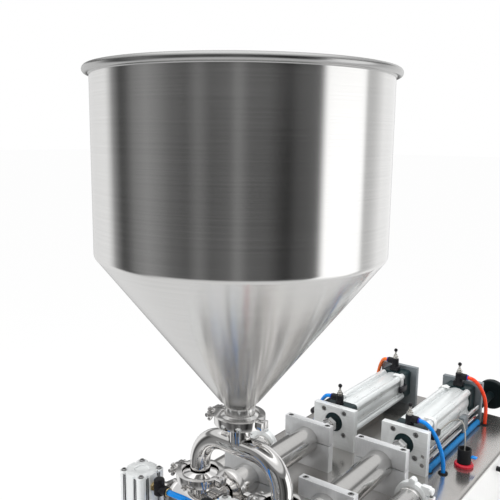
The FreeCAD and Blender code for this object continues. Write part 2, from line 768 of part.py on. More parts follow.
def manifold():
    """Arched pipe that feeds both valves from the hopper, with three ferrules."""
    foot = size.inlet_z + size.gasket_t / 2
    top = size.hop_clamp_z - size.gasket_t / 2
    line = arch_line()
    solids = {}
    for layer, radius in (("outer", size.pipe_r), ("inner", size.pipe_r - size.pipe_t)):
        section = doc.addObject("Part::Circle", f"arch_{layer}_section")
        bind(section, "Radius", radius)
        move(section, (-size.line_x, 0, foot))
        pipe = doc.addObject("Part::Sweep", f"arch_{layer}_pipe")
        pipe.Sections = [section]
        pipe.Spine = (line, ["Edge1", "Edge2", "Edge3", "Edge4", "Edge5"])
        pipe.Solid = True
        rise = top - size.crown_z if layer == "outer" else top - size.crown_z + 1
        stub = cylinder(f"arch_{layer}_stub", radius - 0.4, rise, (0, 0, size.crown_z), "z")
        parts = [pipe, stub]
        if layer == "outer":
            parts += ferrule("arch_top_ferrule", (0, 0, top), "z", 1, size.pipe_r)
            for side in (-1, 1):
                spot = (side * size.line_x, 0, foot)
                parts += ferrule(f"arch_foot_ferrule_{side}", spot, "z", -1, size.pipe_r)
        solids[layer] = fuse(f"arch_{layer}", parts)
    return finish(cut("arch_all", solids["outer"], [solids["inner"]]), "manifold")


def valve_bodies():
    """Three-way valve bodies, each with a bore across the line and three ferruled ports."""
    bodies = []
    for side, hand in ((-1, "left"), (1, "right")):
        x = side * size.line_x
        z = size.line_z
        tag = f"valve_{hand}"
        half = size.valve_half
        barrel = cylinder(tag + "_barrel", size.valve_r, half * 2, (x - half, 0, z), "x")
        foot = box(tag + "_foot", [(x - 20, x + 20), (-24, 24), (0, z - 24)])
        top = size.inlet_z - size.gasket_t / 2
        rear = size.port_y - size.gasket_t / 2
        neck = size.port_r + 3
        solids = [barrel, foot, cylinder(tag + "_neck", neck, top - z, (x, 0, z), "z")]
        solids.append(cylinder(tag + "_run", neck, rear * 2, (x, -rear, z), "y"))
        solids += ferrule(tag + "_top", (x, 0, top), "z", 1, neck)
        solids += ferrule(tag + "_rear", (x, rear, z), "y", 1, neck)
        solids += ferrule(tag + "_front", (x, -rear, z), "y", -1, neck)
        wall = 7
        bore_low = x - half + wall if side > 0 else x - half - 1
        tools = [
            cylinder(tag + "_bore", size.bore_r, half * 2 - wall + 1, (bore_low, 0, z), "x"),
            cylinder(tag + "_inlet", size.port_r, top - z + 1, (x, 0, z), "z"),
            cylinder(tag + "_through", size.port_r, rear * 2 + 2, (x, -rear - 1, z), "y"),
        ]
        bodies.append(cut(tag + "_body", fuse(tag + "_solid", solids), tools))
    return finish(group("valve_bodies_all", bodies), "valve_bodies")


def valve_covers():
    """The covers that close the valve bores round the stems."""
    covers = []
    for side in (-1, 1):
        face = side * (size.line_x + size.valve_half)
        low = face if side > 0 else face - size.cover_t
        disc = cylinder(f"cover_disc_{side}", size.valve_r - 1, size.cover_t, (low, 0, size.line_z), "x")
        hole = cylinder(f"cover_hole_{side}", size.stem_r + size.run_fit, size.cover_t + 2,
                        (low - 1, 0, size.line_z), "x")
        covers.append(cut(f"cover_{side}", disc, [hole]))
        for turn in range(4):
            angle = math.radians(45 + 90 * turn)
            spot_y = (size.valve_r - 6) * math.cos(angle)
            spot_z = size.line_z + (size.valve_r - 6) * math.sin(angle)
            spot_x = low + size.cover_t if side > 0 else low - 3
            name = f"cover_screw_{side}_{turn}"
            screws.append(screw_head(name, (spot_x, spot_y, spot_z), "x", 3.5, 3, side))
    return finish(group("covers_all", covers), "valve_covers")


def screw_head(name, place, axis, radius, height, towards):
    """Socket head that starts at place; towards is the side of its hexagon."""
    x, y, z = place
    head = cylinder(name + "_head", radius, height, place, axis)
    lift = height * 0.45 if towards > 0 else -height * 0.45
    spots = {"x": (x + lift, y, z), "y": (x, y + lift, z), "z": (x, y, z + lift)}
    key = prism(name + "_key", radius * 0.5, height, spots[axis], axis)
    return cut(name, head, [key])


def valve_rotor(side, hand):
    """Rotor whose blade shuts the front port at rest and the inlet after a quarter turn."""
    x = side * size.line_x
    z = size.line_z
    tag = f"rotor_{hand}"
    radius = size.bore_r - size.run_fit
    inner = size.valve_half - 7 - size.rest_gap
    outer = size.valve_half - size.rest_gap
    low = x - inner if side > 0 else x - outer
    plug = cylinder(tag + "_plug", radius, inner + outer, (low, 0, z), "x")
    window = box(tag + "_window", [(x - 18, x + 18), (-13, 30), (z - 30, z + 30)])
    reach = size.lever_x + size.lever_t / 2 + 6
    start = x + outer - 1 if side > 0 else x - reach
    stem = cylinder(tag + "_stem", size.stem_r, reach - outer + 1, (start, 0, z), "x")
    return finish(fuse(tag + "_all", [cut(tag + "_open", plug, [window]), stem]), f"valve_rotor_{hand}")


def involute(base, roll):
    """Point of the involute of a circle, from the roll angle, in the lever's own plane."""
    across = base * (math.sin(roll) - roll * math.cos(roll))
    down = base * (math.cos(roll) + roll * math.sin(roll))
    return across, down


def slot_face(half_width, x):
    """Face across x that follows the clevis pin's path in the turning lever, half_width to each side."""
    base = size.cam_r.value
    first = size.cam_start.value / base
    steps = 7
    rolls = [first + math.pi / 2 * i / steps for i in range(steps + 1)]
    sides = {1: [], -1: []}
    for roll in rolls:
        across, down = involute(base, roll)
        for sign in sides:
            offset = sign * half_width
            spot = (x, -across - offset * math.cos(roll), offset * math.sin(roll) - down)
            sides[sign].append(FreeCAD.Vector(*spot))
    curves = []
    for sign in sides:
        spline = Part.BSplineCurve()
        spline.interpolate(sides[sign])
        curves.append(spline.toShape())
    ends = []
    for index, sign in ((0, -1), (-1, 1)):
        roll = rolls[index]
        across, down = involute(base, roll)
        offset = sign * half_width
        bulge = FreeCAD.Vector(x, -across - offset * math.sin(roll), -down - offset * math.cos(roll))
        ends.append(Part.Arc(sides[1][index], bulge, sides[-1][index]).toShape())
    return Part.Face(Part.Wire([curves[0], ends[1], curves[1].reversed(), ends[0]]))


def lever(side, hand):
    """Lever with an involute slot: the rod's straight travel turns the valve at one constant ratio."""
    thick = size.lever_t.value
    low = -thick / 2
    room = size.pin_r.value + 0.15
    wide = room + size.slot_wall.value
    base = size.cam_r.value
    first = size.cam_start.value / base
    last = first + math.pi / 2
    near_y, near_z = involute(base, first)
    far_y, far_z = involute(base, last)
    hub_r = size.stem_r.value + 6
    web_points = [
        FreeCAD.Vector(low, hub_r * 0.9, -2),
        FreeCAD.Vector(low, wide - near_y, -near_z),
        FreeCAD.Vector(low, 2 - far_y, -far_z),
        FreeCAD.Vector(low, -far_y - wide * 0.6, wide * 0.7 - far_z),
        FreeCAD.Vector(low, -hub_r * 0.9, 2),
    ]
    across = FreeCAD.Vector(thick, 0, 0)
    web = Part.Face(Part.makePolygon(web_points + web_points[:1])).extrude(across)
    rim = slot_face(wide, low).extrude(across)
    along_x = FreeCAD.Vector(1, 0, 0)
    hub = Part.makeCylinder(hub_r, thick + 4, FreeCAD.Vector(low - 2, 0, 0), along_x)
    bore = Part.makeCylinder(size.stem_r.value, thick + 8, FreeCAD.Vector(low - 4, 0, 0), along_x)
    slot = slot_face(room, low - 2).extrude(FreeCAD.Vector(thick + 4, 0, 0))
    feature = doc.addObject("Part::Feature", f"lever_{hand}_shape")
    feature.Shape = hub.fuse([rim, web]).cut([bore, slot]).removeSplitter()
    feature.Placement.Rotation = FreeCAD.Rotation(along_x, math.degrees(last))
    move(feature, (side * (size.line_x + size.lever_x), 0, size.line_z))
    return finish(group(f"lever_{hand}_all", [feature]), f"valve_lever_{hand}")


def pin_rest():
    """The clevis pin's place behind the valve's axis with the rod in."""
    return size.cam_start + size.cam_r * (math.pi / 2)


def valve_cylinder(side, hand):
    """Round air cylinder beside the product tube that works the valve's lever."""
    x = side * (size.line_x + size.lever_x)
    z = size.line_z - size.cam_r
    tag = f"vcyl_{hand}"
    length = size.vcyl_back - size.vcyl_front
    barrel = cylinder(tag + "_barrel", size.vcyl_r, length, (x, size.vcyl_front, z), "y")
    grooves = []
    for name, y in (("front", size.vcyl_front + 18), ("rear", size.vcyl_back - 26)):
        outer = cylinder(f"{tag}_{name}_groove", size.vcyl_r + 1, 3, (x, y, z), "y")
        core = cylinder(f"{tag}_{name}_core", size.vcyl_r - 1.5, 3, (x, y, z), "y")
        grooves.append(cut(f"{tag}_{name}_ring", outer, [core]))
    nose = cylinder(tag + "_nose", size.vrod_r + 5, 12, (x, size.vcyl_front - 12, z), "y")
    port = cylinder(tag + "_port", 6, size.vcyl_r + 5, (x, size.vcyl_front + 9, z), "z")
    solids = [barrel, nose, port]
    room = cylinder(tag + "_room", size.vcyl_r - 2, length - 26, (x, size.vcyl_front + 13, z), "y")
    hole = cylinder(tag + "_hole", size.vrod_r + size.run_fit, 30, (x, size.vcyl_front - 13, z), "y")
    return cut(tag + "_all", fuse(tag + "_solid", solids), grooves + [room, hole])


def valve_rod(side, hand):
    """Piston, rod, clevis and pin that drive the lever."""
    x = side * (size.line_x + size.lever_x)
    z = size.line_z - size.cam_r
    tag = f"vrod_{hand}"
    pin_y = pin_rest()
    arm = size.lever_t / 2 + 0.4
    cheek = 5
    bridge = pin_y + 14
    piston_y = size.vcyl_back - 34
    rod = cylinder(tag + "_rod", size.vrod_r, piston_y - bridge - 5, (x, bridge + 6, z), "y")
    piston = cylinder(tag + "_piston", size.vcyl_r - 2 - size.run_fit, 18, (x, piston_y, z), "y")
    spans = [(x - arm - cheek, x + arm + cheek), (bridge, bridge + 8), (z - 8, z + 8)]
    solids = [rod, piston, box(tag + "_bridge", spans)]
    for end in (-1, 1):
        span = (x + arm, x + arm + cheek) if end > 0 else (x - arm - cheek, x - arm)
        solids.append(box(f"{tag}_cheek_{end}", [span, (pin_y - 6, bridge + 1), (z - 8, z + 8)]))
    pin = cylinder(tag + "_pin", size.pin_r, (arm + cheek) * 2 + 4, (x - arm - cheek - 2, pin_y, z), "x")
    return finish(fuse(tag + "_all", solids + [pin]), f"valve_rod_{hand}")


def cylinder_feet():
    """Clamp rings that hold the valve cylinders' rear ends to the table."""
    feet_made = []
    for side in (-1, 1):
        x = side * (size.line_x + size.lever_x)
        y = size.foot_y
        z = size.line_z - size.cam_r
        ring_part = cylinder(f"vfoot_ring_{side}", size.foot_r, size.foot_t, (x, y, z), "y")
        half = size.foot_w / 2
        sole = box(f"vfoot_sole_{side}", [(x - half, x + half), (y, y + size.foot_t + 12), (0, 6)])
        low = x + size.foot_r - 3 if side > 0 else x - size.foot_r - 9
        ear = box(f"vfoot_ear_{side}", [(low, low + 12), (y + 1, y + size.foot_t - 1), (z + 4, z + 13)])
        solid = fuse(f"vfoot_solid_{side}", [ring_part, sole, ear])
        bore = cylinder(f"vfoot_bore_{side}", size.vcyl_r, size.foot_t + 14, (x, y - 1, z), "y")
        feet_made.append(cut(f"vfoot_{side}", solid, [bore]))
        ear_x = low + 7 if side > 0 else low + 5
        ear_top = (ear_x, y + size.foot_t / 2, z + 13)
        screws.append(screw_head(f"vfoot_screw_{side}", ear_top, "z", 3.5, 4, 1))
        for end in (-1, 1):
            spot = (x + end * 9, y + size.foot_t + 7, 6)
            screws.append(screw_head(f"vfoot_sole_screw_{side}_{end}", spot, "z", 3.5, 4, 1))
    return finish(group("vfeet_all", feet_made), "cylinder_feet")


def product_tube(side, hand):
    """Polished tube with a ferrule at its valve end and an open rear end."""
    front = size.port_y + size.gasket_t / 2
    body = new_body(f"tube_{hand}_body")
    profile = sketch_on(body, "YZ_Plane", 0)
    outline(profile, [
        (front, size.port_r),
        (front, size.fer_r),
        (front + size.fer_t, size.fer_r),
        (front + size.fer_t + size.fer_cone / 2, size.tube_r),
        (size.tube_back, size.tube_r),
        (size.tube_back, size.tube_in),
        (front + 5, size.tube_in),
        (front + 5, size.port_r),
    ])
    revolve(body, profile, "H_Axis")
    return move(body, (side * size.line_x, 0, size.line_z))


def tube_blocks():
    """Split blocks that clamp the product tubes: saddles on the table, caps held by two screws each."""
    saddles = []
    caps = []
    half = size.block_w / 2
    for side in (-1, 1):
        x = side * size.line_x
        for place, y in (("front", size.front_block), ("rear", size.rear_block)):
            tag = f"block_{place}_{side}"
            spans = [(x - half, x + half), (y, y + size.block_t)]
            low = box(tag + "_low", spans + [(0, size.line_z - size.split_gap / 2)])
            high = box(tag + "_high", spans + [(size.line_z + size.split_gap / 2, size.block_h)])
            bores = []
            for part in ("saddle", "cap"):
                start = (x, y - 1, size.line_z)
                bores.append(cylinder(f"{tag}_{part}_bore", size.tube_r, size.block_t + 2, start, "y"))
            wells = []
            for end in (-1, 1):
                spot = (x + end * size.block_screw, y + size.block_t / 2)
                wells.append(cylinder(f"{tag}_well_{end}", 5.2, 12, (*spot, size.block_h - 5), "z"))
                screws.append(screw_head(f"{tag}_screw_{end}", (*spot, size.block_h - 5), "z", 4.2, 5, 1))
            saddles.append(cut(tag + "_saddle", low, bores[:1]))
            caps.append(cut(tag + "_cap", high, bores[1:] + wells))
    finish(group("saddles_all", saddles), "tube_saddles")
    finish(group("caps_all", caps), "tube_caps")


def drive_pieces(side, hand):
    """Lobed barrel, end caps and end plates of one drive cylinder."""
    z = size.line_z
    x = side * size.line_x
    front = size.plate_y + size.plate_t
    tag = f"drive_{hand}"
    barrel_low = front + size.front_cap
    length = size.rear_cap_y - barrel_low
    solids = [cylinder(tag + "_wall", size.barrel_r, length, (0, barrel_low, z), "y")]
    for u in (-1, 1):
        for w in (-1, 1):
            spot = (u * size.bolt_half, barrel_low, z + w * size.bolt_half)
            solids.append(cylinder(f"{tag}_lobe_{u}_{w}", size.lobe_r, length, spot, "y"))
            rib = size.cap_half - 1
            low_x = u * size.bolt_half - 4
            spans = [(low_x, low_x + 8), (barrel_low, barrel_low + length)]
            edge = (z + w * 12, z + w * rib) if w > 0 else (z + w * rib, z + w * 12)
            solids.append(box(f"{tag}_rib_{u}_{w}", spans + [edge]))
    bore = cylinder(tag + "_bore", size.drive_bore, length + 2, (0, barrel_low - 1, z), "y")
    barrel = move(cut(tag + "_barrel_all", fuse(tag + "_barrel", solids), [bore]), (x, 0, 0))

    front_cap = new_body(tag + "_front_cap")
    drawing = sketch_on(front_cap, "XZ_Plane", front)
    rectangle(drawing, (-size.cap_half, z - size.cap_half), (size.cap_half, z + size.cap_half))
    block = pad(front_cap, drawing, size.front_cap, 1)
    front_cap.Tip = round_edges(front_cap, block, size.cap_r, along("y"))
    boss = sketch_on(front_cap, "XZ_Plane", front)
    ring(boss, (0, z), size.boss_r)
    pad(front_cap, boss, size.plate_t - 1, -1)
    hole = sketch_on(front_cap, "XZ_Plane", size.plate_y - 1)
    ring(hole, (0, z), size.rod_r + size.run_fit)
    pocket(front_cap, hole, size.plate_t + size.front_cap + 4, 1)
    move(front_cap, (x, 0, 0))

    rear_cap = new_body(tag + "_rear_cap")
    drawing = sketch_on(rear_cap, "XZ_Plane", size.rear_cap_y)
    rectangle(drawing, (-size.cap_half, z - size.cap_half), (size.cap_half, z + size.cap_half))
    block = pad(rear_cap, drawing, size.rear_plate_y - size.rear_cap_y, 1)
    rear_cap.Tip = round_edges(rear_cap, block, size.cap_r, along("y"))
    move(rear_cap, (x, 0, 0))
    return barrel, [front_cap, rear_cap]


def end_plates():
    """Front and rear plates that stand the drive cylinders on the table, with their screws."""
    plates = []
    z = size.line_z
    for side in (-1, 1):
        x = side * size.line_x
        guide = x + side * size.guide_x
        for place, y, half, thick, high in (
            ("front", size.plate_y, size.plate_w / 2, size.plate_t, size.plate_h),
            ("rear", size.rear_plate_y, size.rear_plate_w / 2, size.rear_plate_t, size.rear_plate_h),
        ):
            tag = f"{place}_plate_{side}"
            slab = box(tag + "_slab", [(x - half, x + half), (y, y + thick), (0, high)])
            screw_r = size.guide_r + size.run_fit
            tools = [
                cylinder(tag + "_screw_hole", screw_r, thick + 2, (guide, y - 1, size.screw_z), "y"),
                cylinder(tag + "_guide_hole", size.guide_r, thick + 2, (guide, y - 1, size.guide_z), "y"),
            ]
            if place == "front":
                hole_r = size.boss_r + size.rest_gap
                tools.append(cylinder(tag + "_hole", hole_r, thick + 2, (x, y - 1, z), "y"))
            for u in (-1, 1):
                for w in (-1, 1):
                    spot_x, spot_z = x + u * size.bolt_half, z + w * size.bolt_half
                    name = f"{tag}_bolt_{u}_{w}"
                    if place == "front":
                        tools.append(cylinder(name + "_well", 5.6, 7, (spot_x, y - 1, spot_z), "y"))
                        screws.append(screw_head(name, (spot_x, y + 1, spot_z), "y", 4.6, 5, -1))
                    else:
                        screws.append(screw_head(name, (spot_x, y + thick, spot_z), "y", 5, 5, 1))
            plates.append(cut(tag, slab, tools))
    return finish(group("end_plates_all", plates), "end_plates")


def pistons(side, hand):
    """Product piston and the rod with its coupling nut and drive piston."""
    x = side * size.line_x
    z = size.line_z
    tag = f"piston_{hand}"
    drive_y = size.rear_cap_y - size.drive_t - 2
    product_y = size.port_y + size.gasket_t / 2 + 7 + size.stroke
    head = cylinder(tag + "_head", size.tube_in - size.run_fit, size.piston_t, (0, product_y, z), "y")
    groove_y = product_y + size.piston_t / 2 - 2
    outer = cylinder(tag + "_groove", size.tube_in + 1, 4, (0, groove_y, z), "y")
    core = cylinder(tag + "_core", size.tube_in - 2.5, 4, (0, groove_y, z), "y")
    finish(cut(tag + "_all", head, [cut(tag + "_ring", outer, [core])]), f"product_piston_{hand}", x)
    rear = product_y + size.piston_t
    rod_y = size.nut_y + size.nut_t
    parts = [
        cylinder(tag + "_pushrod", 8, size.nut_y - rear, (0, rear, z), "y"),
        prism(tag + "_nut", 13, size.nut_t, (0, size.nut_y, z), "y"),
        cylinder(tag + "_rod", size.rod_r, drive_y - rod_y, (0, rod_y, z), "y"),
        cylinder(tag + "_drive", size.drive_bore - size.run_fit, size.drive_t, (0, drive_y, z), "y"),
    ]
    finish(fuse(tag + "_rod_all", parts), f"piston_rod_{hand}", x)


def stroke_gear(side, hand):
    """Stroke screw with its handwheel, and the switch slide that it moves."""
    x = side * (size.line_x + size.guide_x)
    tag = f"stroke_{hand}"
    start = size.plate_y + 2
    rear = size.rear_plate_y + size.rear_plate_t
    length = size.wheel_y + 4 - start
    screw = cylinder(tag + "_screw", size.guide_r, length, (x, start, size.screw_z), "y")
    wheel = new_body(tag + "_wheel")
    profile = sketch_on(wheel, "YZ_Plane", 0)
    front = size.wheel_y
    back = size.wheel_y + size.wheel_t
    outline(profile, [
        (rear + size.rest_gap, size.guide_r),
        (rear + size.rest_gap, size.wheel_hub),
        (front, size.wheel_hub),
        (front, size.wheel_r - 2),
        (front + 2, size.wheel_r),
        (back - 3, size.wheel_r),
        (back, size.wheel_r - 3),
        (back, size.wheel_hub + 8),
        (back - 5, size.wheel_hub + 5),
        (back - 5, size.guide_r),
    ])
    revolve(wheel, profile, "H_Axis")
    move(wheel, (x, 0, size.screw_z))
    finish(group(tag + "_all", [screw, wheel]), f"stroke_screw_{hand}")

    half = 6
    y = size.slide_y
    spans = [(x - half, x + half), (y, y + size.slide_l), (size.guide_z - 7, size.screw_z + 8)]
    block = box(tag + "_block", spans)
    holes = []
    for name, level in (("nut", size.screw_z), ("guide", size.guide_z)):
        start = (x, y - 1, level)
        hole_r = size.guide_r + size.run_fit
        holes.append(cylinder(f"{tag}_{name}", hole_r, size.slide_l + 2, start, "y"))
    finish(cut(tag + "_slide", block, holes), f"switch_slide_{hand}")


def guide_rods():
    """Rods below the stroke screws that the switch slides run on."""
    rods = []
    length = size.rear_plate_y + size.rear_plate_t - size.plate_y
    for side in (-1, 1):
        start = (side * (size.line_x + size.guide_x), size.plate_y, size.guide_z)
        rods.append(cylinder(f"guide_rod_{side}", size.guide_r, length, start, "y"))
    return finish(group("guides_all", rods), "guide_rods")


def throttles():
    """Flow control elbows on the drive cylinders, and their knobs."""
    base = size.line_z + size.cap_half
    bodies = []
    for side, hand in ((-1, "left"), (1, "right")):
        x = side * size.line_x
        for place, y, lift in (("front", size.front_port, 0), ("rear", size.rear_port, size.rear_lift)):
            tag = f"throttle_{place}_{hand}"
            top = base + size.throttle_h + lift
            arm_z = top - 7
            low = x if side > 0 else x - size.arm_l
            lip = x + size.arm_l - 1 if side > 0 else x - size.arm_l - 2
            solids = [
                cylinder(tag + "_post", size.throttle_r, top - base, (x, y, base), "z"),
                cylinder(tag + "_arm", size.hose_r + 3, size.arm_l, (low, y, arm_z), "x"),
                cylinder(tag + "_lip", size.hose_r + 1.6, 3, (lip, y, arm_z), "x"),
                prism(tag + "_collar", 5.5, size.collar_h, (x, y, top), "z"),
            ]
            bodies.append(fuse(tag + "_body", solids))
            stem_low = top + size.collar_h + size.rest_gap
            ball_z = top + size.knob_lift
            stem = cylinder(tag + "_stem", 2.4, ball_z - stem_low, (x, y, stem_low), "z")
            ball = doc.addObject("Part::Sphere", tag + "_ball")
            bind(ball, "Radius", size.knob_r)
            move(ball, (x, y, ball_z))
            finish(fuse(tag + "_knob", [stem, ball]), f"throttle_knob_{place}_{hand}")
    return bodies


def rod_elbows():
    """Elbows at the rear of the valve cylinders and the two that hold the supply hose."""
    elbows = []
    for side in (-1, 1):
        x = side * (size.line_x + size.lever_x)
        y = size.vcyl_back
        z = size.line_z - size.cam_r
        hub = cylinder(f"vcyl_elbow_hub_{side}", 6.5, 15, (x, y, z), "y")
        low = x if side > 0 else x - 18
        arm = cylinder(f"vcyl_elbow_arm_{side}", size.hose_r + 1.5, 18, (low, y + 8, z), "x")
        elbows.append(fuse(f"vcyl_elbow_{side}", [hub, arm]))
    radius = size.supply_r + 2.5
    height = size.supply_r * 2 + 1
    z = size.supply_r + size.rest_gap
    for number, (y, towards) in enumerate(((size.supply_front, 1), (size.supply_rear, -1))):
        low = y - 10 if towards > 0 else y
        arm = cylinder(f"supply_arm_{number}", size.supply_r, 10, (size.supply_x, low, z), "y")
        post_y = y - 10 if towards > 0 else y + 10
        post = cylinder(f"supply_post_{number}", radius, height, (size.supply_x, post_y, 0), "z")
        elbows.append(fuse(f"supply_elbow_{number}", [arm, post]))
    return elbows


def barrel_switches():
    """Switches on the drive barrels: clips round one corner lobe and the switch below each."""
    parts = []
    z = size.line_z
    inner = size.bolt_half + size.lobe_r + 0.2
    thick = 2.4
    wide = 12
    corner_z = z + size.bolt_half
    for side in (-1, 1):
        for place, y, facing in (
            ("front", size.front_port + 44, side),
            ("rear", size.rear_cap_y - 24, -side),
        ):
            x = side * size.line_x
            corner_x = x + facing * size.bolt_half
            tag = f"clip_{place}_{side}"
            wall = x + facing * inner if facing > 0 else x - inner - thick
            top_x = (corner_x - 12, corner_x) if facing > 0 else (corner_x, corner_x + 12)
            strap = fuse(tag + "_strap", [
                cylinder(tag + "_turn", size.lobe_r + 0.2 + thick, wide, (corner_x, y, corner_z), "y"),
                box(tag + "_side", [(wall, wall + thick), (y, y + wide), (z + 8, corner_z)]),
                box(tag + "_top", [top_x, (y, y + wide), (z + inner, z + inner + thick)]),
            ])
            lobe = cylinder(tag + "_lobe", size.lobe_r + 0.2, wide + 2, (corner_x, y - 1, corner_z), "y")
            room_x = (x, corner_x) if facing > 0 else (corner_x, x)
            under = box(tag + "_under", [room_x, (y - 1, y + wide + 1), (z, z + inner)])
            room_side = (x, x + inner) if facing > 0 else (x - inner, x)
            beside = box(tag + "_beside", [room_side, (y - 1, y + wide + 1), (z, corner_z)])
            parts.append(cut(tag, strap, [lobe, under, beside]))
            face = x + inner if facing > 0 else x - inner - 7
            spans = [(face, face + 7), (y - 10, y + wide + 10), (z - 4, z + 8)]
            parts.append(box(tag + "_switch", spans))
    return finish(group("switches_all", parts), "barrel_switches")


def nozzles():
    """Nozzle bodies with their actuators and plungers."""
    bodies = []
    blocks = []
    elbows = []
    z = size.line_z
    y = size.nozzle_y
    for side, hand in ((-1, "left"), (1, "right")):
        x = side * size.line_x
        tag = f"nozzle_{hand}"
        face = -size.port_y - size.gasket_t / 2
        top = size.act_top - size.act_h
        post = cylinder(tag + "_post", size.nozzle_r, top - 26, (x, y, 26), "z")
        slim = size.nozzle_r - 4
        tip_top = size.nozzle_tip + 14
        low = cylinder(tag + "_low", slim, 26 - tip_top, (x, y, tip_top), "z")
        tip = cone(tag + "_tip", 7.5, slim, 14, (x, y, size.nozzle_tip), "z")
        neck = size.port_r + 2
        run = cylinder(tag + "_run", neck, face - y, (x, y, z), "y")
        flange = cylinder(tag + "_flange", size.act_w / 2 - 1, 5, (x, y, top - 5), "z")
        solids = [post, low, tip, run, flange] + ferrule(tag + "_ferrule", (x, face, z), "y", 1, neck)
        bore_low = size.nozzle_tip + 10
        tools = [
            cylinder(tag + "_bore", size.nozzle_r - 6, z + 18 - bore_low, (x, y, bore_low), "z"),
            cylinder(tag + "_side", size.port_r, face - y + 1, (x, y, z), "y"),
            cylinder(tag + "_mouth", size.plunger_r + 0.6, 12, (x, y, size.nozzle_tip - 1), "z"),
            cylinder(tag + "_guide", size.plunger_r + size.run_fit, 70, (x, y, z), "z"),
        ]
        bodies.append(cut(tag + "_body", fuse(tag + "_solid", solids), tools))

        block = new_body(tag + "_block")
        drawing = sketch_on(block, "XY_Plane", top)
        half = size.act_w / 2
        outline(drawing, grooved_square(half))
        extrusion = pad(block, drawing, size.act_h, 1)
        reach = value_of(half) - 0.01

        def is_corner(edge):
            spot = edge.BoundBox
            return is_upright(edge) and min(abs(spot.XMin), abs(spot.YMin)) > reach

        block.Tip = round_edges(block, extrusion, size.act_round, is_corner)
        dish = sketch_on(block, "XY_Plane", size.act_top + 1)
        ring(dish, (0, 0), 10)
        for u in (-1, 1):
            for w in (-1, 1):
                ring(dish, (u * size.act_bolt, w * size.act_bolt), 4)
        pocket(block, dish, 2.2, -1)
        rod_hole = sketch_on(block, "XY_Plane", top - 1)
        ring(rod_hole, (0, 0), size.plunger_r + size.run_fit)
        pocket(block, rod_hole, 14, 1)
        room = sketch_on(block, "XY_Plane", top + 12)
        ring(room, (0, 0), 16)
        pocket(block, room, size.act_h - 22, 1)
        move(block, (x, y, 0))
        for u in (-1, 1):
            for w in (-1, 1):
                spot = (x + u * size.act_bolt, y + w * size.act_bolt, size.act_top - 1.2)
                screws.append(screw_head(f"{tag}_screw_{u}_{w}", spot, "z", 3.4, 3.2, 1))
        blocks.append(block)

        wall = x - side * size.act_w / 2
        port_z = size.act_top - 18
        stem_low = wall if side < 0 else wall - 12
        stem = cylinder(tag + "_stem", 5, 12, (stem_low, y, port_z), "x")
        hub_x = wall - side * 12
        hub = cylinder(tag + "_hub", 7.5, 18, (hub_x, y, port_z - 8), "z")
        button = cylinder(tag + "_button", 4, 6, (hub_x, y, port_z + 10), "z")
        arm_axis = "x" if side < 0 else "y"
        arm = cylinder(tag + "_arm", size.hose_r + 2.5, 18, (hub_x, y, port_z + 1), arm_axis)
        elbows.append(fuse(tag + "_elbow", [stem, hub, button, arm]))

        floor = top + 12
        rod_low = size.nozzle_tip + 3
        rod = cylinder(tag + "_rod", size.plunger_r, floor + 20 - rod_low, (x, y, rod_low), "z")
        disc = cylinder(tag + "_disc", 16 - size.run_fit, 10, (x, y, floor + 12), "z")
        plug = cone(tag + "_plug", 3, size.plunger_r, 3, (x, y, rod_low - 3), "z")
        finish(fuse(tag + "_plunger", [rod, disc, plug]), f"nozzle_plunger_{hand}")
    finish(group("nozzles_all", bodies), "nozzle_bodies")
    finish(group("actuators_all", blocks), "nozzle_actuators")
    return elbows


def grooved_square(half):
    """Outline of an extruded profile: a square with two switch grooves on each side."""
    points = []
    groove_at = 9
    groove_half = 2.2
    depth = 2.6
    for quarter in range(4):
        cosine = (1, 0, -1, 0)[quarter]
        sine = (0, 1, 0, -1)[quarter]
        side_points = [(half, -half)]
        for centre in (-groove_at, groove_at):
            side_points += [
                (half, centre - groove_half), (half - depth, centre - groove_half),
                (half - depth, centre + groove_half), (half, centre + groove_half),
            ]
        for across, upward in side_points:
            points.append((across * cosine - upward * sine, across * sine + upward * cosine))
    return points


def grommets():
    """Black rings in the table where the hoses go down."""
    rings = []
    for number, (x, y) in enumerate(hose_holes()):
        tag = f"grommet_{number}"
        under = -size.sheet_t
        lip = cylinder(tag + "_lip", size.hose_r + 5, 3, (x, y, 0), "z")
        neck = cylinder(tag + "_neck", size.hose_r + 2.5, size.sheet_t, (x, y, under), "z")
        bore_r = size.hose_r + size.rest_gap
        bore = cylinder(tag + "_bore", bore_r, size.sheet_t + 5, (x, y, under - 1), "z")
        rings.append(cut(tag, fuse(tag + "_solid", [lip, neck]), [bore]))
    return finish(group("grommets_all", rings), "hose_grommets")


def bent_bar(name, points, radius):
    """A round bar along straight runs joined by tangent arcs; returns its length and arc radii too."""
    spots = [FreeCAD.Vector(*point) for point in points]
    edges = []
    radii = []
    start = spots[0]
    for before, corner, after in zip(spots, spots[1:], spots[2:]):
        back = before - corner
        ahead = after - corner
        trim = 0.45 * min(back.Length, ahead.Length)
        back.normalize()
        ahead.normalize()
        half_turn = (math.pi - back.getAngle(ahead)) / 2
        arc_r = trim / math.tan(half_turn)
        middle = back + ahead
        middle.normalize()
        apex = corner + middle * (arc_r / math.cos(half_turn) - arc_r)
        enter = corner + back * trim
        leave = corner + ahead * trim
        edges.append(Part.makeLine(start, enter))
        edges.append(Part.Arc(enter, apex, leave).toShape())
        radii.append(round(arc_r, 1))
        start = leave
    edges.append(Part.makeLine(start, spots[-1]))
    path = Part.Wire(edges)
    circle = Part.Wire(Part.makeCircle(value_of(radius), spots[0], spots[1] - spots[0]))
    feature = doc.addObject("Part::Feature", name + "_bar")
    feature.Shape = path.makePipeShell([circle], True, True)
    return feature, path.Length, radii


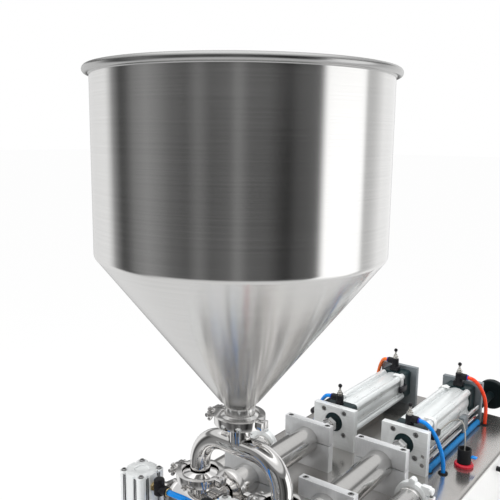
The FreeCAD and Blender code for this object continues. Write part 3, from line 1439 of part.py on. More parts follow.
def cord(node, points, radius):
    """A hose or cable as a bent bar; its length and arc radii are printed."""
    bar, length, radii = bent_bar(node, points, radius)
    expected = math.pi * value_of(radius) ** 2 * length
    print(node, "length", round(length, 1), "volume ratio", round(bar.Shape.Volume / expected, 4))
    print("  arc radii", radii)
    return finish(group(node + "_all", [bar]), node)


hose_routes = {
    "front": [
        (97, 429.5, 98), (106, 429.5, 98), (116, 433, 90), (125.5, 436.5, 76), (133, 439.5, 59),
        (139, 441.8, 42), (143, 443, 25), (144, 443, 10), (144, 443, -1),
    ],
    "rear": [
        (97, 690, 108), (104, 690, 108), (112, 696, 102), (120.5, 703, 89), (127, 708.5, 73),
        (131.5, 712.3, 55), (133.6, 714, 35), (133.2, 714, 15), (133, 714, -1),
    ],
}
nozzle_routes = {
    "left": [
        (-24.5, -122, 153), (-15, -122, 153), (-3, -116, 149.5), (3.5, -104, 139), (4.4, -90, 125),
        (1.5, -75, 104.5), (-3.6, -61, 78), (-7.8, -50.5, 48), (-9.7, -45.6, 20), (-10, -45, -1),
    ],
    "right": [
        (42.5, -104, 153), (42.5, -93, 153), (40, -77, 148.6), (34, -62.5, 135), (27, -52.5, 115),
        (21, -48, 93), (15.8, -45.6, 68), (12, -45, 42), (10.2, -45, 18), (10, -45, -1),
    ],
}
cable_route = [
    (111.5, 495.8, 56), (112.6, 505.5, 58.2), (115.6, 515.4, 63), (121.4, 523.6, 69.4),
    (130.5, 527.8, 75), (140.5, 526.8, 78.4), (149.4, 521.2, 77), (156.6, 513, 69.5),
    (161.4, 504.6, 55.5), (163.6, 499.2, 38), (164, 498, 18),
]


def hoses():
    """Air hoses from the fittings down through the table, the supply hose and the switch cable."""
    for place, route in hose_routes.items():
        for side, hand in ((-1, "left"), (1, "right")):
            cord(f"air_hose_{place}_{hand}", [(side * x, y, z) for x, y, z in route], size.hose_r)
    for hand, route in nozzle_routes.items():
        cord(f"nozzle_hose_{hand}", route, size.hose_r)
    length = size.supply_rear - size.supply_front
    start = (size.supply_x, size.supply_front, size.supply_r + size.rest_gap)
    straight = cylinder("supply_hose_tube", size.supply_r, length, start, "y")
    finish(group("supply_hose_all", [straight]), "supply_hose")
    cord("switch_cable", cable_route, 2)


def main():
    cabinet()
    service_door()
    feet()
    handles()
    controls()
    air_regulator()
    regulator_knob()
    sensor_gland()
    hopper()
    clamps()
    gaskets()
    manifold()
    valve_bodies()
    valve_covers()
    shared = {"valve_cylinders": [], "product_tubes": [], "drive_barrels": [], "drive_end_caps": []}
    for side, hand in ((-1, "left"), (1, "right")):
        valve_rotor(side, hand)
        lever(side, hand)
        valve_rod(side, hand)
        pistons(side, hand)
        stroke_gear(side, hand)
        shared["valve_cylinders"].append(valve_cylinder(side, hand))
        shared["product_tubes"].append(product_tube(side, hand))
        barrel, caps = drive_pieces(side, hand)
        shared["drive_barrels"].append(barrel)
        shared["drive_end_caps"] += caps
    for node, members in shared.items():
        finish(group(node + "_all", members), node)
    cylinder_feet()
    tube_blocks()
    end_plates()
    guide_rods()
    fittings = throttles() + rod_elbows()
    fittings += nozzles()
    finish(group("fittings_all", fittings), "air_fittings")
    barrel_switches()
    grommets()
    hoses()
    finish(group("socket_screws_all", screws), "socket_screws")
    doc.recompute()
    os.makedirs("parts", exist_ok=True)
    for piece in pieces:
        if "Invalid" in piece.State or "Error" in piece.State:
            raise ValueError(f"{piece.Label}: {piece.State}")
        if piece.Shape.isNull() or not piece.Shape.isValid():
            raise ValueError(f"{piece.Label}: the shape isn't valid")
        piece.Shape.exportStep(f"parts/{piece.Label}.step")
    print(len(pieces), "pieces")


main()
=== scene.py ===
import json
from math import cos, hypot, pi, radians, sin, sqrt
import bpy
import bmesh
from mathutils import Matrix, Vector


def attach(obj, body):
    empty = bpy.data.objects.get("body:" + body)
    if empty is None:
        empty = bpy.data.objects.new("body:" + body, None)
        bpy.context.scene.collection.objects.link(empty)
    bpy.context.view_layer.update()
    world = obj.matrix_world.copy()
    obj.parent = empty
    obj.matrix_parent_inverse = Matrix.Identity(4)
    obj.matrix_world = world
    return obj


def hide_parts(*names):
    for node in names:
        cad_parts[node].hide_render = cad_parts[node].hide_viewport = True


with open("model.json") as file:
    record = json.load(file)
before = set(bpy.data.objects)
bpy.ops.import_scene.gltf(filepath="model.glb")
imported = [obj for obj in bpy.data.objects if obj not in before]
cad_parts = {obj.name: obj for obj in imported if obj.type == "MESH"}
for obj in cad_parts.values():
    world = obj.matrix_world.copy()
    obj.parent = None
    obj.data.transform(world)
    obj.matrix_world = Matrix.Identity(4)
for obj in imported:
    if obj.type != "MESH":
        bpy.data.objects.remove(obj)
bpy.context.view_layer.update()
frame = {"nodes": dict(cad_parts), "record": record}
bodyOf = {node: body for body, nodes in frame["record"]["behaviour"]["bodies"].items() for node in nodes}
print("frame loaded:", len(bodyOf), "nodes")

# sizes in mm, measured from the hopper's axis and the table top, as the model was drawn
layout = {"originY": -317.05, "tableTop": 360.0, "lineX": 77.0, "lineZ": 54.0, "portY": 67.0, "inletZ": 111.0,
          "clampZ": 225.0, "ferrule": 32.0, "crownZ": 182.0, "bendR": 48.0, "pipeR": 15.7, "guideX": 38.5,
          "screwZ": 38.0, "plateY": 407.0, "rearPlateY": 712.0, "frontPort": 429.5, "rearPort": 690.0}
lineX, lineZ = layout["lineX"], layout["lineZ"]
sides = (("left", -1), ("right", 1))


def at(x, y, z):
    # a place in mm to metres in the frame
    return Vector((x, y + layout["originY"], z + layout["tableTop"])) * 0.001


class Value:
    # a socket that ordinary arithmetic can be written with
    def __init__(self, tree, socket):
        self.tree = tree
        self.socket = socket

    def pair(self, kind, first, second):
        node = self.tree.nodes.new("ShaderNodeMath")
        node.operation = kind
        fill(self.tree, node.inputs[0], first)
        fill(self.tree, node.inputs[1], second)
        return Value(self.tree, node.outputs[0])

    def __add__(self, other):
        return self.pair("ADD", self, other)

    def __radd__(self, other):
        return self.pair("ADD", other, self)

    def __sub__(self, other):
        return self.pair("SUBTRACT", self, other)

    def __rsub__(self, other):
        return self.pair("SUBTRACT", other, self)

    def __mul__(self, other):
        return self.pair("MULTIPLY", self, other)

    def __truediv__(self, other):
        return self.pair("DIVIDE", self, other)


def fill(tree, slot, item):
    # a link to the slot, or a constant in it
    if isinstance(item, Value):
        tree.links.new(item.socket, slot)
    else:
        slot.default_value = item


class Shade:
    # a node tree with one method for every node that isn't plain maths
    def __init__(self, tree):
        self.tree = tree
        self.tree.nodes.clear()

    def node(self, kind, sockets={}, settings={}, out=0):
        made = self.tree.nodes.new(kind)
        for name, setting in settings.items():
            if name == "stops":
                self.setStops(made.color_ramp, setting)
            else:
                setattr(made, name, setting)
        for name, item in sockets.items():
            fill(self.tree, made.inputs[name], item)
        return Value(self.tree, made.outputs[out])

    def setStops(self, ramp, stops):
        ramp.elements.remove(ramp.elements[-1])
        for number, (place, tone) in enumerate(stops):
            stop = ramp.elements[0] if number == 0 else ramp.elements.new(place)
            stop.position = place
            stop.color = (*tone, 1)

    def mix(self, first, second, share):
        # one colour passing into another
        made = self.tree.nodes.new("ShaderNodeMix")
        made.data_type = "RGBA"
        fill(self.tree, made.inputs[0], share)
        for slot, item in ((made.inputs[6], first), (made.inputs[7], second)):
            fill(self.tree, slot, item if isinstance(item, Value) else (*item, 1))
        return Value(self.tree, made.outputs[2])

    def parts(self, vector):
        node = self.tree.nodes.new("ShaderNodeSeparateXYZ")
        self.tree.links.new(vector.socket, node.inputs[0])
        return [Value(self.tree, socket) for socket in node.outputs]


def placed(name, data):
    # an object in the scene
    made = bpy.data.objects.new(name, data)
    bpy.context.scene.collection.objects.link(made)
    return made


def meshOf(form, name):
    mesh = bpy.data.meshes.new(name)
    form.to_mesh(mesh)
    form.free()
    return mesh


def circle(count, start=0.0):
    # cosine and sine of each step round a full turn
    angles = [2 * pi * i / count + start for i in range(count)]
    return [(cos(angle), sin(angle)) for angle in angles]


def newFinish(name, **constants):
    # a Principled material; what varies is fed to it later
    material = bpy.data.materials.new(name)
    material.use_nodes = True
    shade = Shade(material.node_tree)
    shader = shade.tree.nodes.new("ShaderNodeBsdfPrincipled")
    output = shade.tree.nodes.new("ShaderNodeOutputMaterial")
    shade.tree.links.new(shader.outputs[0], output.inputs[0])
    for socket, number in constants.items():
        shader.inputs[socket].default_value = number
    shade.shader = shader
    shade.material = material
    shade.place = shade.node("ShaderNodeTexCoord", out=3)
    return shade


def feed(shade, socket, value):
    shade.tree.links.new(value.socket, shade.shader.inputs[socket])


def bumped(shade, height, strength, distance):
    sockets = {"Strength": strength, "Distance": distance, "Height": height}
    feed(shade, "Normal", shade.node("ShaderNodeBump", sockets))


def noise(shade, scale, detail):
    return shade.node("ShaderNodeTexNoise", {"Vector": shade.place, "Scale": scale, "Detail": detail})


def stretched(shade, scale):
    # noise drawn out along an axis, as a brush or a belt leaves it
    spot = shade.node("ShaderNodeMapping", {"Vector": shade.place, "Scale": scale})
    return shade.node("ShaderNodeTexNoise", {"Vector": spot, "Scale": 1.0, "Detail": 3.0, "Roughness": 0.6})


def toneRamp(shade, fac, low, high, tone, fade):
    # from the tone made darker by fade up to the tone itself
    dark = [c * (1 - fade) for c in tone]
    return shade.node("ShaderNodeValToRGB", {"Fac": fac}, {"stops": [(low, dark), (high, tone)]})


def brushedMetal(name, look):
    tone, rough, roughStreak, scale, streak, smudge, bump, drawn = look
    shade = newFinish(name, Metallic=1.0, Anisotropic=drawn, **{"Anisotropic Rotation": 0.25})
    grain = stretched(shade, scale)
    cloud = noise(shade, 9.0, 3.0)
    feed(shade, "Base Color", toneRamp(shade, grain, 0.3, 0.7, tone, streak))
    feed(shade, "Roughness", rough + (grain - 0.5) * roughStreak + (cloud - 0.5) * smudge)
    bumped(shade, grain, bump, 0.0002)
    return shade.material


def cabinetMetal(name, look, sideTone):
    # mirror-polished on top, ground and paler on the upright faces
    tone, rough, roughStreak, scale, streak, smudge, bump = look
    shade = newFinish(name)
    facing = shade.parts(shade.node("ShaderNodeTexCoord", out=1))[2]
    upright = 1 - shade.node("ShaderNodeMapRange", {"Value": facing, "From Min": 0.35, "From Max": 0.7})
    belt = stretched(shade, scale)
    ground = stretched(shade, (900, 900, 12))
    cloud = noise(shade, 9.0, 3.0)
    polished = toneRamp(shade, belt, 0.3, 0.7, tone, streak)
    pale = toneRamp(shade, ground, 0.3, 0.7, sideTone, 0.07)
    feed(shade, "Base Color", shade.mix(polished, pale, upright))
    feed(shade, "Metallic", 0.95 - upright * 0.70)
    glossy = rough + (belt - 0.5) * roughStreak + (cloud - 0.5) * smudge
    feed(shade, "Roughness", glossy + upright * 0.25)
    bumped(shade, belt, bump, 0.0002)
    return shade.material


def moulded(name, tone, rough, grainSize, bump):
    # moulded plastic or rubber with a fine grain and a little unevenness; black ones shine less
    sheen = {"Specular IOR Level": 0.2} if max(tone) < 0.03 else {}
    shade = newFinish(name, **sheen)
    cloud = noise(shade, 60.0, 2.0)
    grain = noise(shade, grainSize, 2.0)
    feed(shade, "Base Color", toneRamp(shade, cloud, 0.35, 0.65, tone, 0.14))
    feed(shade, "Roughness", rough + (cloud - 0.5) * 0.16)
    bumped(shade, grain, bump, 0.0001)
    return shade.material


def blastedAlloy(name, look):
    # anodised aluminium: fine blasted grain, slight clouding, dull sheen
    tone, metal, rough, scale, streak, bump = look
    shade = newFinish(name, Metallic=metal)
    grain = noise(shade, 1400.0, 2.0)
    cloud = noise(shade, 22.0, 4.0)
    lines = stretched(shade, scale)
    feed(shade, "Base Color", toneRamp(shade, lines * 0.6 + cloud * 0.4, 0.35, 0.62, tone, streak))
    feed(shade, "Roughness", rough + (cloud - 0.5) * 0.12 + (lines - 0.5) * 0.1)
    bumped(shade, grain * 0.6 + lines * 0.4, bump, 0.00012)
    return shade.material


# colour, roughness, its streaks, grain along x, y and z, darker streaks, smudges, grain height, and how far
# turned metal draws its reflections out across the grain
steelLook = {
    "hopper": ((0.80, 0.795, 0.785), 0.20, 0.07, (5, 5, 700), 0.07, 0.04, 0.02, 0.85),
    # the rolled rim: the hopper's own steel made darker, painted shade on its bead
    "rim": ((0.50, 0.50, 0.495), 0.24, 0.07, (5, 5, 700), 0.07, 0.04, 0.02, 0.0),
    "polished": ((0.84, 0.83, 0.82), 0.07, 0.04, (160, 160, 160), 0.05, 0.05, 0.01, 0.0),
    "tube": ((0.74, 0.73, 0.715), 0.15, 0.06, (60, 900, 60), 0.08, 0.06, 0.03, 0.0),
    "cast": ((0.82, 0.81, 0.80), 0.11, 0.06, (260, 260, 260), 0.08, 0.09, 0.06, 0.0),
    "rod": ((0.82, 0.82, 0.82), 0.09, 0.05, (700, 30, 700), 0.05, 0.03, 0.02, 0.0),
    "zinc": ((0.40, 0.40, 0.40), 0.2, 0.1, (500, 500, 500), 0.2, 0.1, 0.06, 0.0),
    "nickel": ((0.78, 0.76, 0.72), 0.14, 0.06, (400, 400, 400), 0.08, 0.05, 0.03, 0.0),
    "brass": ((0.80, 0.62, 0.32), 0.22, 0.08, (400, 400, 400), 0.1, 0.05, 0.03, 0.0),
    "cabinetSide": ((0.74, 0.73, 0.72), 0.28, 0.12, (900, 900, 12), 0.08, 0.05, 0.05, 0.0),
}
mirrorLook = ((0.66, 0.64, 0.62), 0.21, 0.06, (30, 500, 500), 0.05, 0.09, 0.012)
cabinetPale = (0.90, 0.90, 0.89)
# colour, metallic share, roughness, grain along x, y and z, darker streaks, grain height
alloyLook = {
    "plate": ((0.80, 0.82, 0.82), 0.35, 0.42, (30, 300, 700), 0.14, 0.1),
    "block": ((0.74, 0.75, 0.76), 0.55, 0.36, (500, 200, 60), 0.07, 0.06),
    "barrel": ((0.74, 0.765, 0.765), 0.35, 0.30, (500, 20, 500), 0.05, 0.05),
    "actuator": ((0.86, 0.88, 0.88), 0.30, 0.32, (500, 500, 25), 0.08, 0.05),
    # the rear end plates' darker copy of the plate finish is painted shade; the switch slides use the same
    # dark alloy
    "darkSlideAndShadedPlate": ((0.26, 0.29, 0.31), 0.5, 0.36, (30, 300, 700), 0.14, 0.1),
    "darkCap": ((0.008, 0.026, 0.030), 0.3, 0.36, (200, 200, 200), 0.25, 0.08),
}
# colour, roughness, grain size, grain height
mouldedLook = {
    "black": ((0.012, 0.012, 0.014), 0.30, 900.0, 0.12),
    "blackRubber": ((0.012, 0.012, 0.013), 0.6, 700.0, 0.2),
    "wheel": ((0.004, 0.009, 0.010), 0.45, 600.0, 0.15),
    "red": ((0.55, 0.012, 0.03), 0.28, 900.0, 0.1),
    "white": ((0.78, 0.77, 0.74), 0.5, 900.0, 0.12),
    "piston": ((0.80, 0.79, 0.76), 0.4, 900.0, 0.12),
    "blueHose": ((0.002, 0.225, 0.70), 0.22, 300.0, 0.03),
    "blueBar": ((0.002, 0.155, 0.40), 0.6, 300.0, 0.03),
    "orangeHose": ((0.78, 0.14, 0.010), 0.25, 300.0, 0.03),
    "redHose": ((0.86, 0.055, 0.012), 0.22, 300.0, 0.03),
    "blueCap": ((0.03, 0.03, 0.33), 0.35, 900.0, 0.1),
    "grey": ((0.30, 0.29, 0.26), 0.45, 900.0, 0.12),
    "clip": ((0.72, 0.73, 0.73), 0.3, 900.0, 0.08),
    # black switch bodies; the same dark moulding also makes the painted shade in the actuators' slots
    "switch": ((0.02, 0.02, 0.024), 0.34, 900.0, 0.12),
}
finish = {name: brushedMetal(name + "Steel", look) for name, look in steelLook.items()}
finish["mirror"] = cabinetMetal("cabinetSteel", mirrorLook, cabinetPale)
finish.update({name: blastedAlloy(name + "Alloy", look) for name, look in alloyLook.items()})
finish.update({name: moulded(name + "Moulding", *look) for name, look in mouldedLook.items()})
print("finishes ready:", len(finish))

# the finish of every node's own solid; those in handed exist once for each side
plain = {
    "mirror": "cabinet", "cabinetSide": "service_door", "blackRubber": "feet hose_grommets",
    "red": "stop_button", "black": "side_handles mode_knob regulator_knob sensor_gland air_fittings",
    "hopper": "hopper", "white": "clamp_gaskets",
    "block": "air_regulator cylinder_feet tube_saddles tube_caps",
    "polished": "manifold valve_bodies nozzle_bodies",
    "cast": "hopper_clamp line_clamps clamp_wing_nuts valve_covers", "tube": "valve_cylinders product_tubes",
    "barrel": "drive_barrels", "darkCap": "drive_end_caps", "plate": "end_plates", "rod": "guide_rods",
    "clip": "barrel_switches", "actuator": "nozzle_actuators", "blueBar": "supply_hose",
    "grey": "switch_cable", "zinc": "socket_screws",
}
handed = {
    "polished": "valve_rotor nozzle_plunger", "cast": "valve_lever", "rod": "valve_rod piston_rod",
    "piston": "product_piston", "zinc": "stroke_screw", "darkSlideAndShadedPlate": "switch_slide",
    "blueHose": "air_hose_front nozzle_hose", "black": "throttle_knob_front throttle_knob_rear",
}
rearHoses = {"left": "orangeHose", "right": "redHose"}
dressed = [(node, name) for name, nodes in plain.items() for node in nodes.split()]
for hand, _ in sides:
    dressed += [(f"{node}_{hand}", name) for name, nodes in handed.items() for node in nodes.split()]
    dressed.append((f"air_hose_rear_{hand}", rearHoses[hand]))
for node, name in dressed:
    for slot in frame["nodes"][node].material_slots:
        slot.material = finish[name]


def keep(form, name, node, materials, added=False):
    # a piece on its node's body; it takes the node's place, unless it is added to it
    piece = placed(name, meshOf(form, name))
    for material in materials:
        piece.data.materials.append(finish[material])
    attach(piece, bodyOf[node])
    if not added:
        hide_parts(node)


def smoothByAngle(form, degrees):
    limit = radians(degrees)
    for face in form.faces:
        face.smooth = True
    for edge in form.edges:
        if len(edge.link_faces) == 2:
            edge.smooth = edge.calc_face_angle(0) < limit


def softened(node, width, materials, pick=None):
    # the node's own form with its sharp edges rounded; pick gives each solid's finish from its middle, in mm
    form = bmesh.new()
    form.from_mesh(frame["nodes"][node].data)
    bmesh.ops.remove_doubles(form, verts=form.verts, dist=0.00002)
    bmesh.ops.dissolve_limit(form, angle_limit=radians(0.6), verts=form.verts, edges=form.edges)
    sharp = [e for e in form.edges if len(e.link_faces) == 2 and e.calc_face_angle(0) > radians(32)]
    bmesh.ops.bevel(form, geom=sharp, offset=width * 0.001, offset_type="OFFSET", segments=2, profile=0.6,
                    affect="EDGES", clamp_overlap=True, miter_outer="ARC")
    smoothByAngle(form, 36)
    if pick:
        for island in islandsOf(form):
            middle = sum((face.calc_center_median() for face in island), Vector()) / len(island) * 1000
            for face in island:
                face.material_index = pick(middle.y - layout["originY"], middle.z - layout["tableTop"])
    keep(form, node + "_finished", node, materials)


def islandsOf(form):
    # the faces of each separate solid
    seen = set()
    for first in form.faces:
        if first in seen:
            continue
        island, edge = [first], [first]
        seen.add(first)
        while edge:
            for near in {face for side in edge.pop().edges for face in side.link_faces}:
                if near not in seen:
                    seen.add(near)
                    island.append(near)
                    edge.append(near)
        yield island


def ringsToFaces(form, rings):
    for low, high in zip(rings, rings[1:]):
        for i in range(len(low)):
            j = (i + 1) % len(low)
            form.faces.new((low[i], low[j], high[j], high[i]))


# how a form that was turned round z is laid along an axis
axes = {"y": Matrix(((1, 0, 0), (0, 0, 1), (0, -1, 0))), "z": Matrix.Identity(3)}


def turn(form, profile, place, axis, count, material=0, start=0.0):
    # a turned form: profile is (radius, along) in mm from place, and ends on the axis where its radius is 0
    if isinstance(axis, str):
        spin = axes[axis]
    else:
        spin = Vector((0, 0, 1)).rotation_difference(Vector(axis)).to_matrix()
    steps = circle(count, start)
    rings = [[form.verts.new(place + spin @ Vector((radius * u, radius * w, along)) * 0.001)
              for u, w in (steps if radius > 0 else steps[:1])] for radius, along in profile]
    made = []
    for low, high in zip(rings, rings[1:]):
        for i in range(count):
            j = (i + 1) % count
            around = (low[i % len(low)], low[j % len(low)], high[j % len(high)], high[i % len(high)])
            corners = [v for k, v in enumerate(around) if v not in around[:k]]
            if len(corners) > 2:
                made.append(form.faces.new(corners))
                made[-1].material_index = material
    return made


def block(form, low, high, corner, material=0):
    # a block from two corners in mm, with edges rounded by corner
    a, b = at(*low), at(*high)
    known = set(form.faces)
    made = bmesh.ops.create_cube(form, size=1.0)
    middle, span = (a + b) / 2, b - a
    for vert in made["verts"]:
        vert.co = Vector(vert.co[i] * span[i] for i in range(3)) + middle
    if corner:
        edges = {edge for vert in made["verts"] for edge in vert.link_edges}
        bmesh.ops.bevel(form, geom=list(edges), offset=corner * 0.001, segments=2, profile=0.5,
                        affect="EDGES")
    for face in set(form.faces) - known:
        face.material_index = material


def finished(form, name, node, materials, angle, weld=True, added=False):
    # weld joins the ends of turned forms; edges above angle stay sharp
    if weld:
        bmesh.ops.remove_doubles(form, verts=form.verts, dist=0.000002)
    bmesh.ops.recalc_face_normals(form, faces=form.faces)
    smoothByAngle(form, angle)
    keep(form, name, node, materials, added)


# the photograph's camera: place in mm, angles in degrees, focal length and picture in pixels, sensor in mm
shot = {"x": 559.99, "y": -707.70, "z": 626.04, "turn": 37.59, "tilt": 9.67, "roll": 0.65,
        "focal": 658.52, "picture": 500, "sensor": 36.0}


def makeCamera():
    turnBy, tilt, roll = (radians(shot[k]) for k in ("turn", "tilt", "roll"))
    ahead = Vector((-sin(turnBy) * cos(tilt), cos(turnBy) * cos(tilt), -sin(tilt)))
    right = Vector((cos(turnBy), sin(turnBy), 0))
    above = right.cross(ahead)
    across = cos(roll) * right + sin(roll) * above
    upward = -sin(roll) * right + cos(roll) * above
    data = bpy.data.cameras.new("shot")
    data.sensor_width = shot["sensor"]
    data.lens = shot["focal"] / shot["picture"] * shot["sensor"]
    data.clip_start = 0.01
    camera = placed("shot", data)
    place = at(shot["x"], shot["y"], shot["z"])
    camera.matrix_world = Matrix.Translation(place) @ Matrix((across, upward, -ahead)).transposed().to_4x4()
    bpy.context.scene.camera = camera


makeCamera()

# air hoses and cables: the same route points as the part's source, in mm
routes = {
    "air_hose_front": [(97, 429.5, 98), (106, 429.5, 98), (116, 433, 90), (125.5, 436.5, 76),
                       (133, 439.5, 59), (139, 441.8, 42), (143, 443, 25), (144, 443, 10), (144, 443, -1)],
    "air_hose_rear": [(97, 690, 108), (104, 690, 108), (112, 696, 102), (120.5, 703, 89), (127, 708.5, 73),
                      (131.5, 712.3, 55), (133.6, 714, 35), (133.2, 714, 15), (133, 714, -1)],
    "nozzle_hose_left": [(-24.5, -122, 153), (-15, -122, 153), (-3, -116, 149.5), (3.5, -104, 139),
                         (4.4, -90, 125), (1.5, -75, 104.5), (-3.6, -61, 78), (-7.8, -50.5, 48),
                         (-9.7, -45.6, 20), (-10, -45, -1)],
    "nozzle_hose_right": [(42.5, -104, 153), (42.5, -93, 153), (40, -77, 148.6), (34, -62.5, 135),
                          (27, -52.5, 115), (21, -48, 93), (15.8, -45.6, 68), (12, -45, 42), (10.2, -45, 18),
                          (10, -45, -1)],
    "switch_cable": [(111.5, 495.8, 56), (112.6, 505.5, 58.2), (115.6, 515.4, 63), (121.4, 523.6, 69.4),
                     (130.5, 527.8, 75), (140.5, 526.8, 78.4), (149.4, 521.2, 77), (156.6, 513, 69.5),
                     (161.4, 504.6, 55.5), (163.6, 499.2, 38), (164, 498, 18)],
    "supply_hose": [(120, 441, 6.3), (120, 480, 6.3), (120, 530, 6.3), (120, 600, 6.3), (120, 655, 6.3),
                    (120, 692, 6.3)],
}


def makeHose(node, points, radius, material):
    line = bpy.data.curves.new(node + "_line", "CURVE")
    line.dimensions = "3D"
    line.resolution_u = 10
    line.bevel_depth = radius * 0.001
    line.bevel_resolution = 6
    line.use_fill_caps = True
    spline = line.splines.new("NURBS")
    spline.points.add(len(points) - 1)
    for spot, point in zip(points, spline.points):
        point.co = (*at(*spot), 1)
    spline.order_u = 3
    spline.use_endpoint_u = True
    hose = placed(node + "_soft", line)
    line.materials.append(finish[material])
    length = spline.calc_length()
    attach(hose, "machine")
    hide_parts(node)
    at(*points[0])
    print(node, "length", round(length * 1000, 1), "mm")


for hand, side in sides:
    for place, material in (("front", "blueHose"), ("rear", rearHoses[hand])):
        route = [(side * x, y, z) for x, y, z in routes["air_hose_" + place]]
        makeHose(f"air_hose_{place}_{hand}", route, 4.0, material)
    makeHose(f"nozzle_hose_{hand}", routes["nozzle_hose_" + hand], 4.0, "blueHose")
makeHose("switch_cable", routes["switch_cable"], 1.3, "grey")
makeHose("supply_hose", routes["supply_hose"], 6.0, "blueBar")


# the hopper: one thin turned shell with a rolled rim
hopperSizes = {"radius": 200, "sheet": 1.5, "rim": 709, "joint": 470, "coneEnd": 246, "neck": 22.5,
               "bead": 5.2, "base": 225.75}


def makeHopper():
    radius, sheet, rim, joint, cone, neck, bead, base = hopperSizes.values()
    edge, inside, bore = layout["ferrule"], radius - sheet, neck - sheet
    eighths, sixths = [i / 8 for i in range(9)], [i / 6 for i in range(7)]
    outer = [(bore, base), (edge - 0.3, base), (edge, base + 0.3), (edge, base + 2), (edge - 0.4, base + 2.5),
             (neck + 1.2, base + 6.2), (neck, base + 7.6), (neck, cone - 3)]
    # the drawn bend from neck to cone, the one from cone to cylinder, and the rolled rim
    outer += [(neck + 7 * t * t, cone - 3 + 11 * t) for t in eighths]
    outer += [(radius - 4 * (1 - t) ** 2, joint - 4.6 + 8 * t) for t in eighths] + [(radius, rim - 6)]
    for i in range(15):
        angle = radians(-118 + 236 * i / 14)
        outer.append((inside + bead + bead * cos(angle), rim + bead * sin(angle)))
    inner = [(inside, rim - 3), (inside, joint + 5)]
    inner += [(inside - 5 * t * t, joint + 5 - 11 * t) for t in sixths]
    inner += [(bore + 6.5, cone + 8.5), (bore, cone - 2), (bore, base)]
    form = bmesh.new()
    for face in turn(form, outer + inner, at(0, 0, 0), "z", 224):
        middle = face.calc_center_median() - at(0, 0, 0)
        if hypot(middle.x, middle.y) > radius * 0.001 + 0.0004:  # the rolled rim's darker copy of the steel: painted shade
            face.material_index = 1
    finished(form, "hopperShell", "hopper", ["hopper", "rim"], 30)


# the manifold: a bent pipe with a branch up to the hopper and a ferrule on each end
manifoldSizes = {"wall": 1.5, "bendSteps": 14, "around": 56, "gasket": 0.75, "weld": 1.3, "weldSteps": 8}


def ferruleProfile(neck, towards):
    # from the flat face back to the neck; towards is the side that the face looks to
    edge, inside = layout["ferrule"], neck - manifoldSizes["wall"]
    points = [(inside, 0), (edge - 0.4, 0), (edge, -0.4), (edge, -2), (edge - 0.5, -2.5), (neck + 1.2, -6),
              (neck, -7.5), (inside, -7.5), (inside, 0)]
    return [(radius, along * towards) for radius, along in points]


def archLine():
    # middle line of the pipe with its direction at each place
    s, bend = layout, layout["bendR"]
    foot = s["inletZ"] + manifoldSizes["gasket"]
    line = [((-lineX, foot), (0, 1))]
    steps = manifoldSizes["bendSteps"]
    for i in range(steps + 1):
        angle = pi / 2 * i / steps
        line.append(((-lineX + bend * (1 - cos(angle)), s["crownZ"] - bend + bend * sin(angle)),
                     (sin(angle), cos(angle))))
    return line + [((-x, z), (u, -w)) for (x, z), (u, w) in reversed(line)]


def makeManifold():
    s, m = layout, manifoldSizes
    around = m["around"]
    form = bmesh.new()
    shells = []
    for r in (s["pipeR"], s["pipeR"] - m["wall"]):
        shells.append([[form.verts.new(at(x + r * c * w, r * d, z - r * c * u)) for c, d in circle(around)]
                       for (x, z), (u, w) in archLine()])
        ringsToFaces(form, shells[-1])
    for end in (0, -1):
        ringsToFaces(form, [shells[0][end], shells[1][end]])
    top = s["clampZ"] - m["gasket"]
    stub, foot = s["pipeR"] - 0.4, s["crownZ"] + 8
    inside = stub - m["wall"]
    turn(form, [(inside, foot), (stub, foot), (stub, top - 7), (inside, top - 7), (inside, foot)],
         at(0, 0, 0), "z", around)
    turn(form, ferruleProfile(s["pipeR"], 1), at(0, 0, top), "z", around)
    for side in (-1, 1):
        turn(form, ferruleProfile(s["pipeR"], -1), at(side * lineX, 0, s["inletZ"] + m["gasket"]), "z",
             around)
    # the weld's small ring where the branch meets the pipe
    weld, thick = [], m["weld"]
    for c, d in circle(around):
        x, y = (stub + 0.2) * c, (stub + 0.2) * d
        z = s["crownZ"] + sqrt(max(s["pipeR"] ** 2 - y * y, 0))
        weld.append([form.verts.new(at(x + thick * out * c, y + thick * out * d, z + thick * up))
                     for out, up in circle(m["weldSteps"])])
    ringsToFaces(form, weld + weld[:1])
    finished(form, "archPipe", "manifold", ["polished"], 40)


# clamps keep their solids with rounded edges; their wing nuts get real wings
clampSizes = {"ring": 37.3, "bolt": 6, "wing": 3, "wingRound": 0.7}
wingOutline = [(-9.5, 2.5), (-9.8, 5.2), (-11.2, 7.8), (-13.6, 9.8), (-16.6, 10.6), (-19.4, 9.8),
               (-20.6, 7.6), (-19.8, 5.4), (-18.2, 3.8), (-17.2, 2.5)]
nutProfile = [(3.1, 8.4), (6.2, 8.4), (6.5, 8.9), (6.3, 12), (5.2, 16.6), (4.7, 17.4), (3.1, 17.4),
              (3.1, 8.4)]


def wing(form, outline, place, spin):
    # a plate cut to an outline of (along, up) points, standing on both sides of its own plane
    half = clampSizes["wing"] / 2
    front, rear = ([form.verts.new(place + spin @ Vector((x, along, up)) * 0.001) for along, up in outline]
                   for x in (-half, half))
    faces = [form.faces.new(front), form.faces.new(list(reversed(rear)))]
    count = len(outline)
    for i in range(count):
        j = (i + 1) % count
        form.faces.new((front[j], front[i], rear[i], rear[j]))
    rims = {edge for face in faces for edge in face.edges}
    width = clampSizes["wingRound"] * 0.001
    bmesh.ops.bevel(form, geom=list(rims), offset=width, segments=3, profile=0.5, affect="EDGES",
                    clamp_overlap=True)


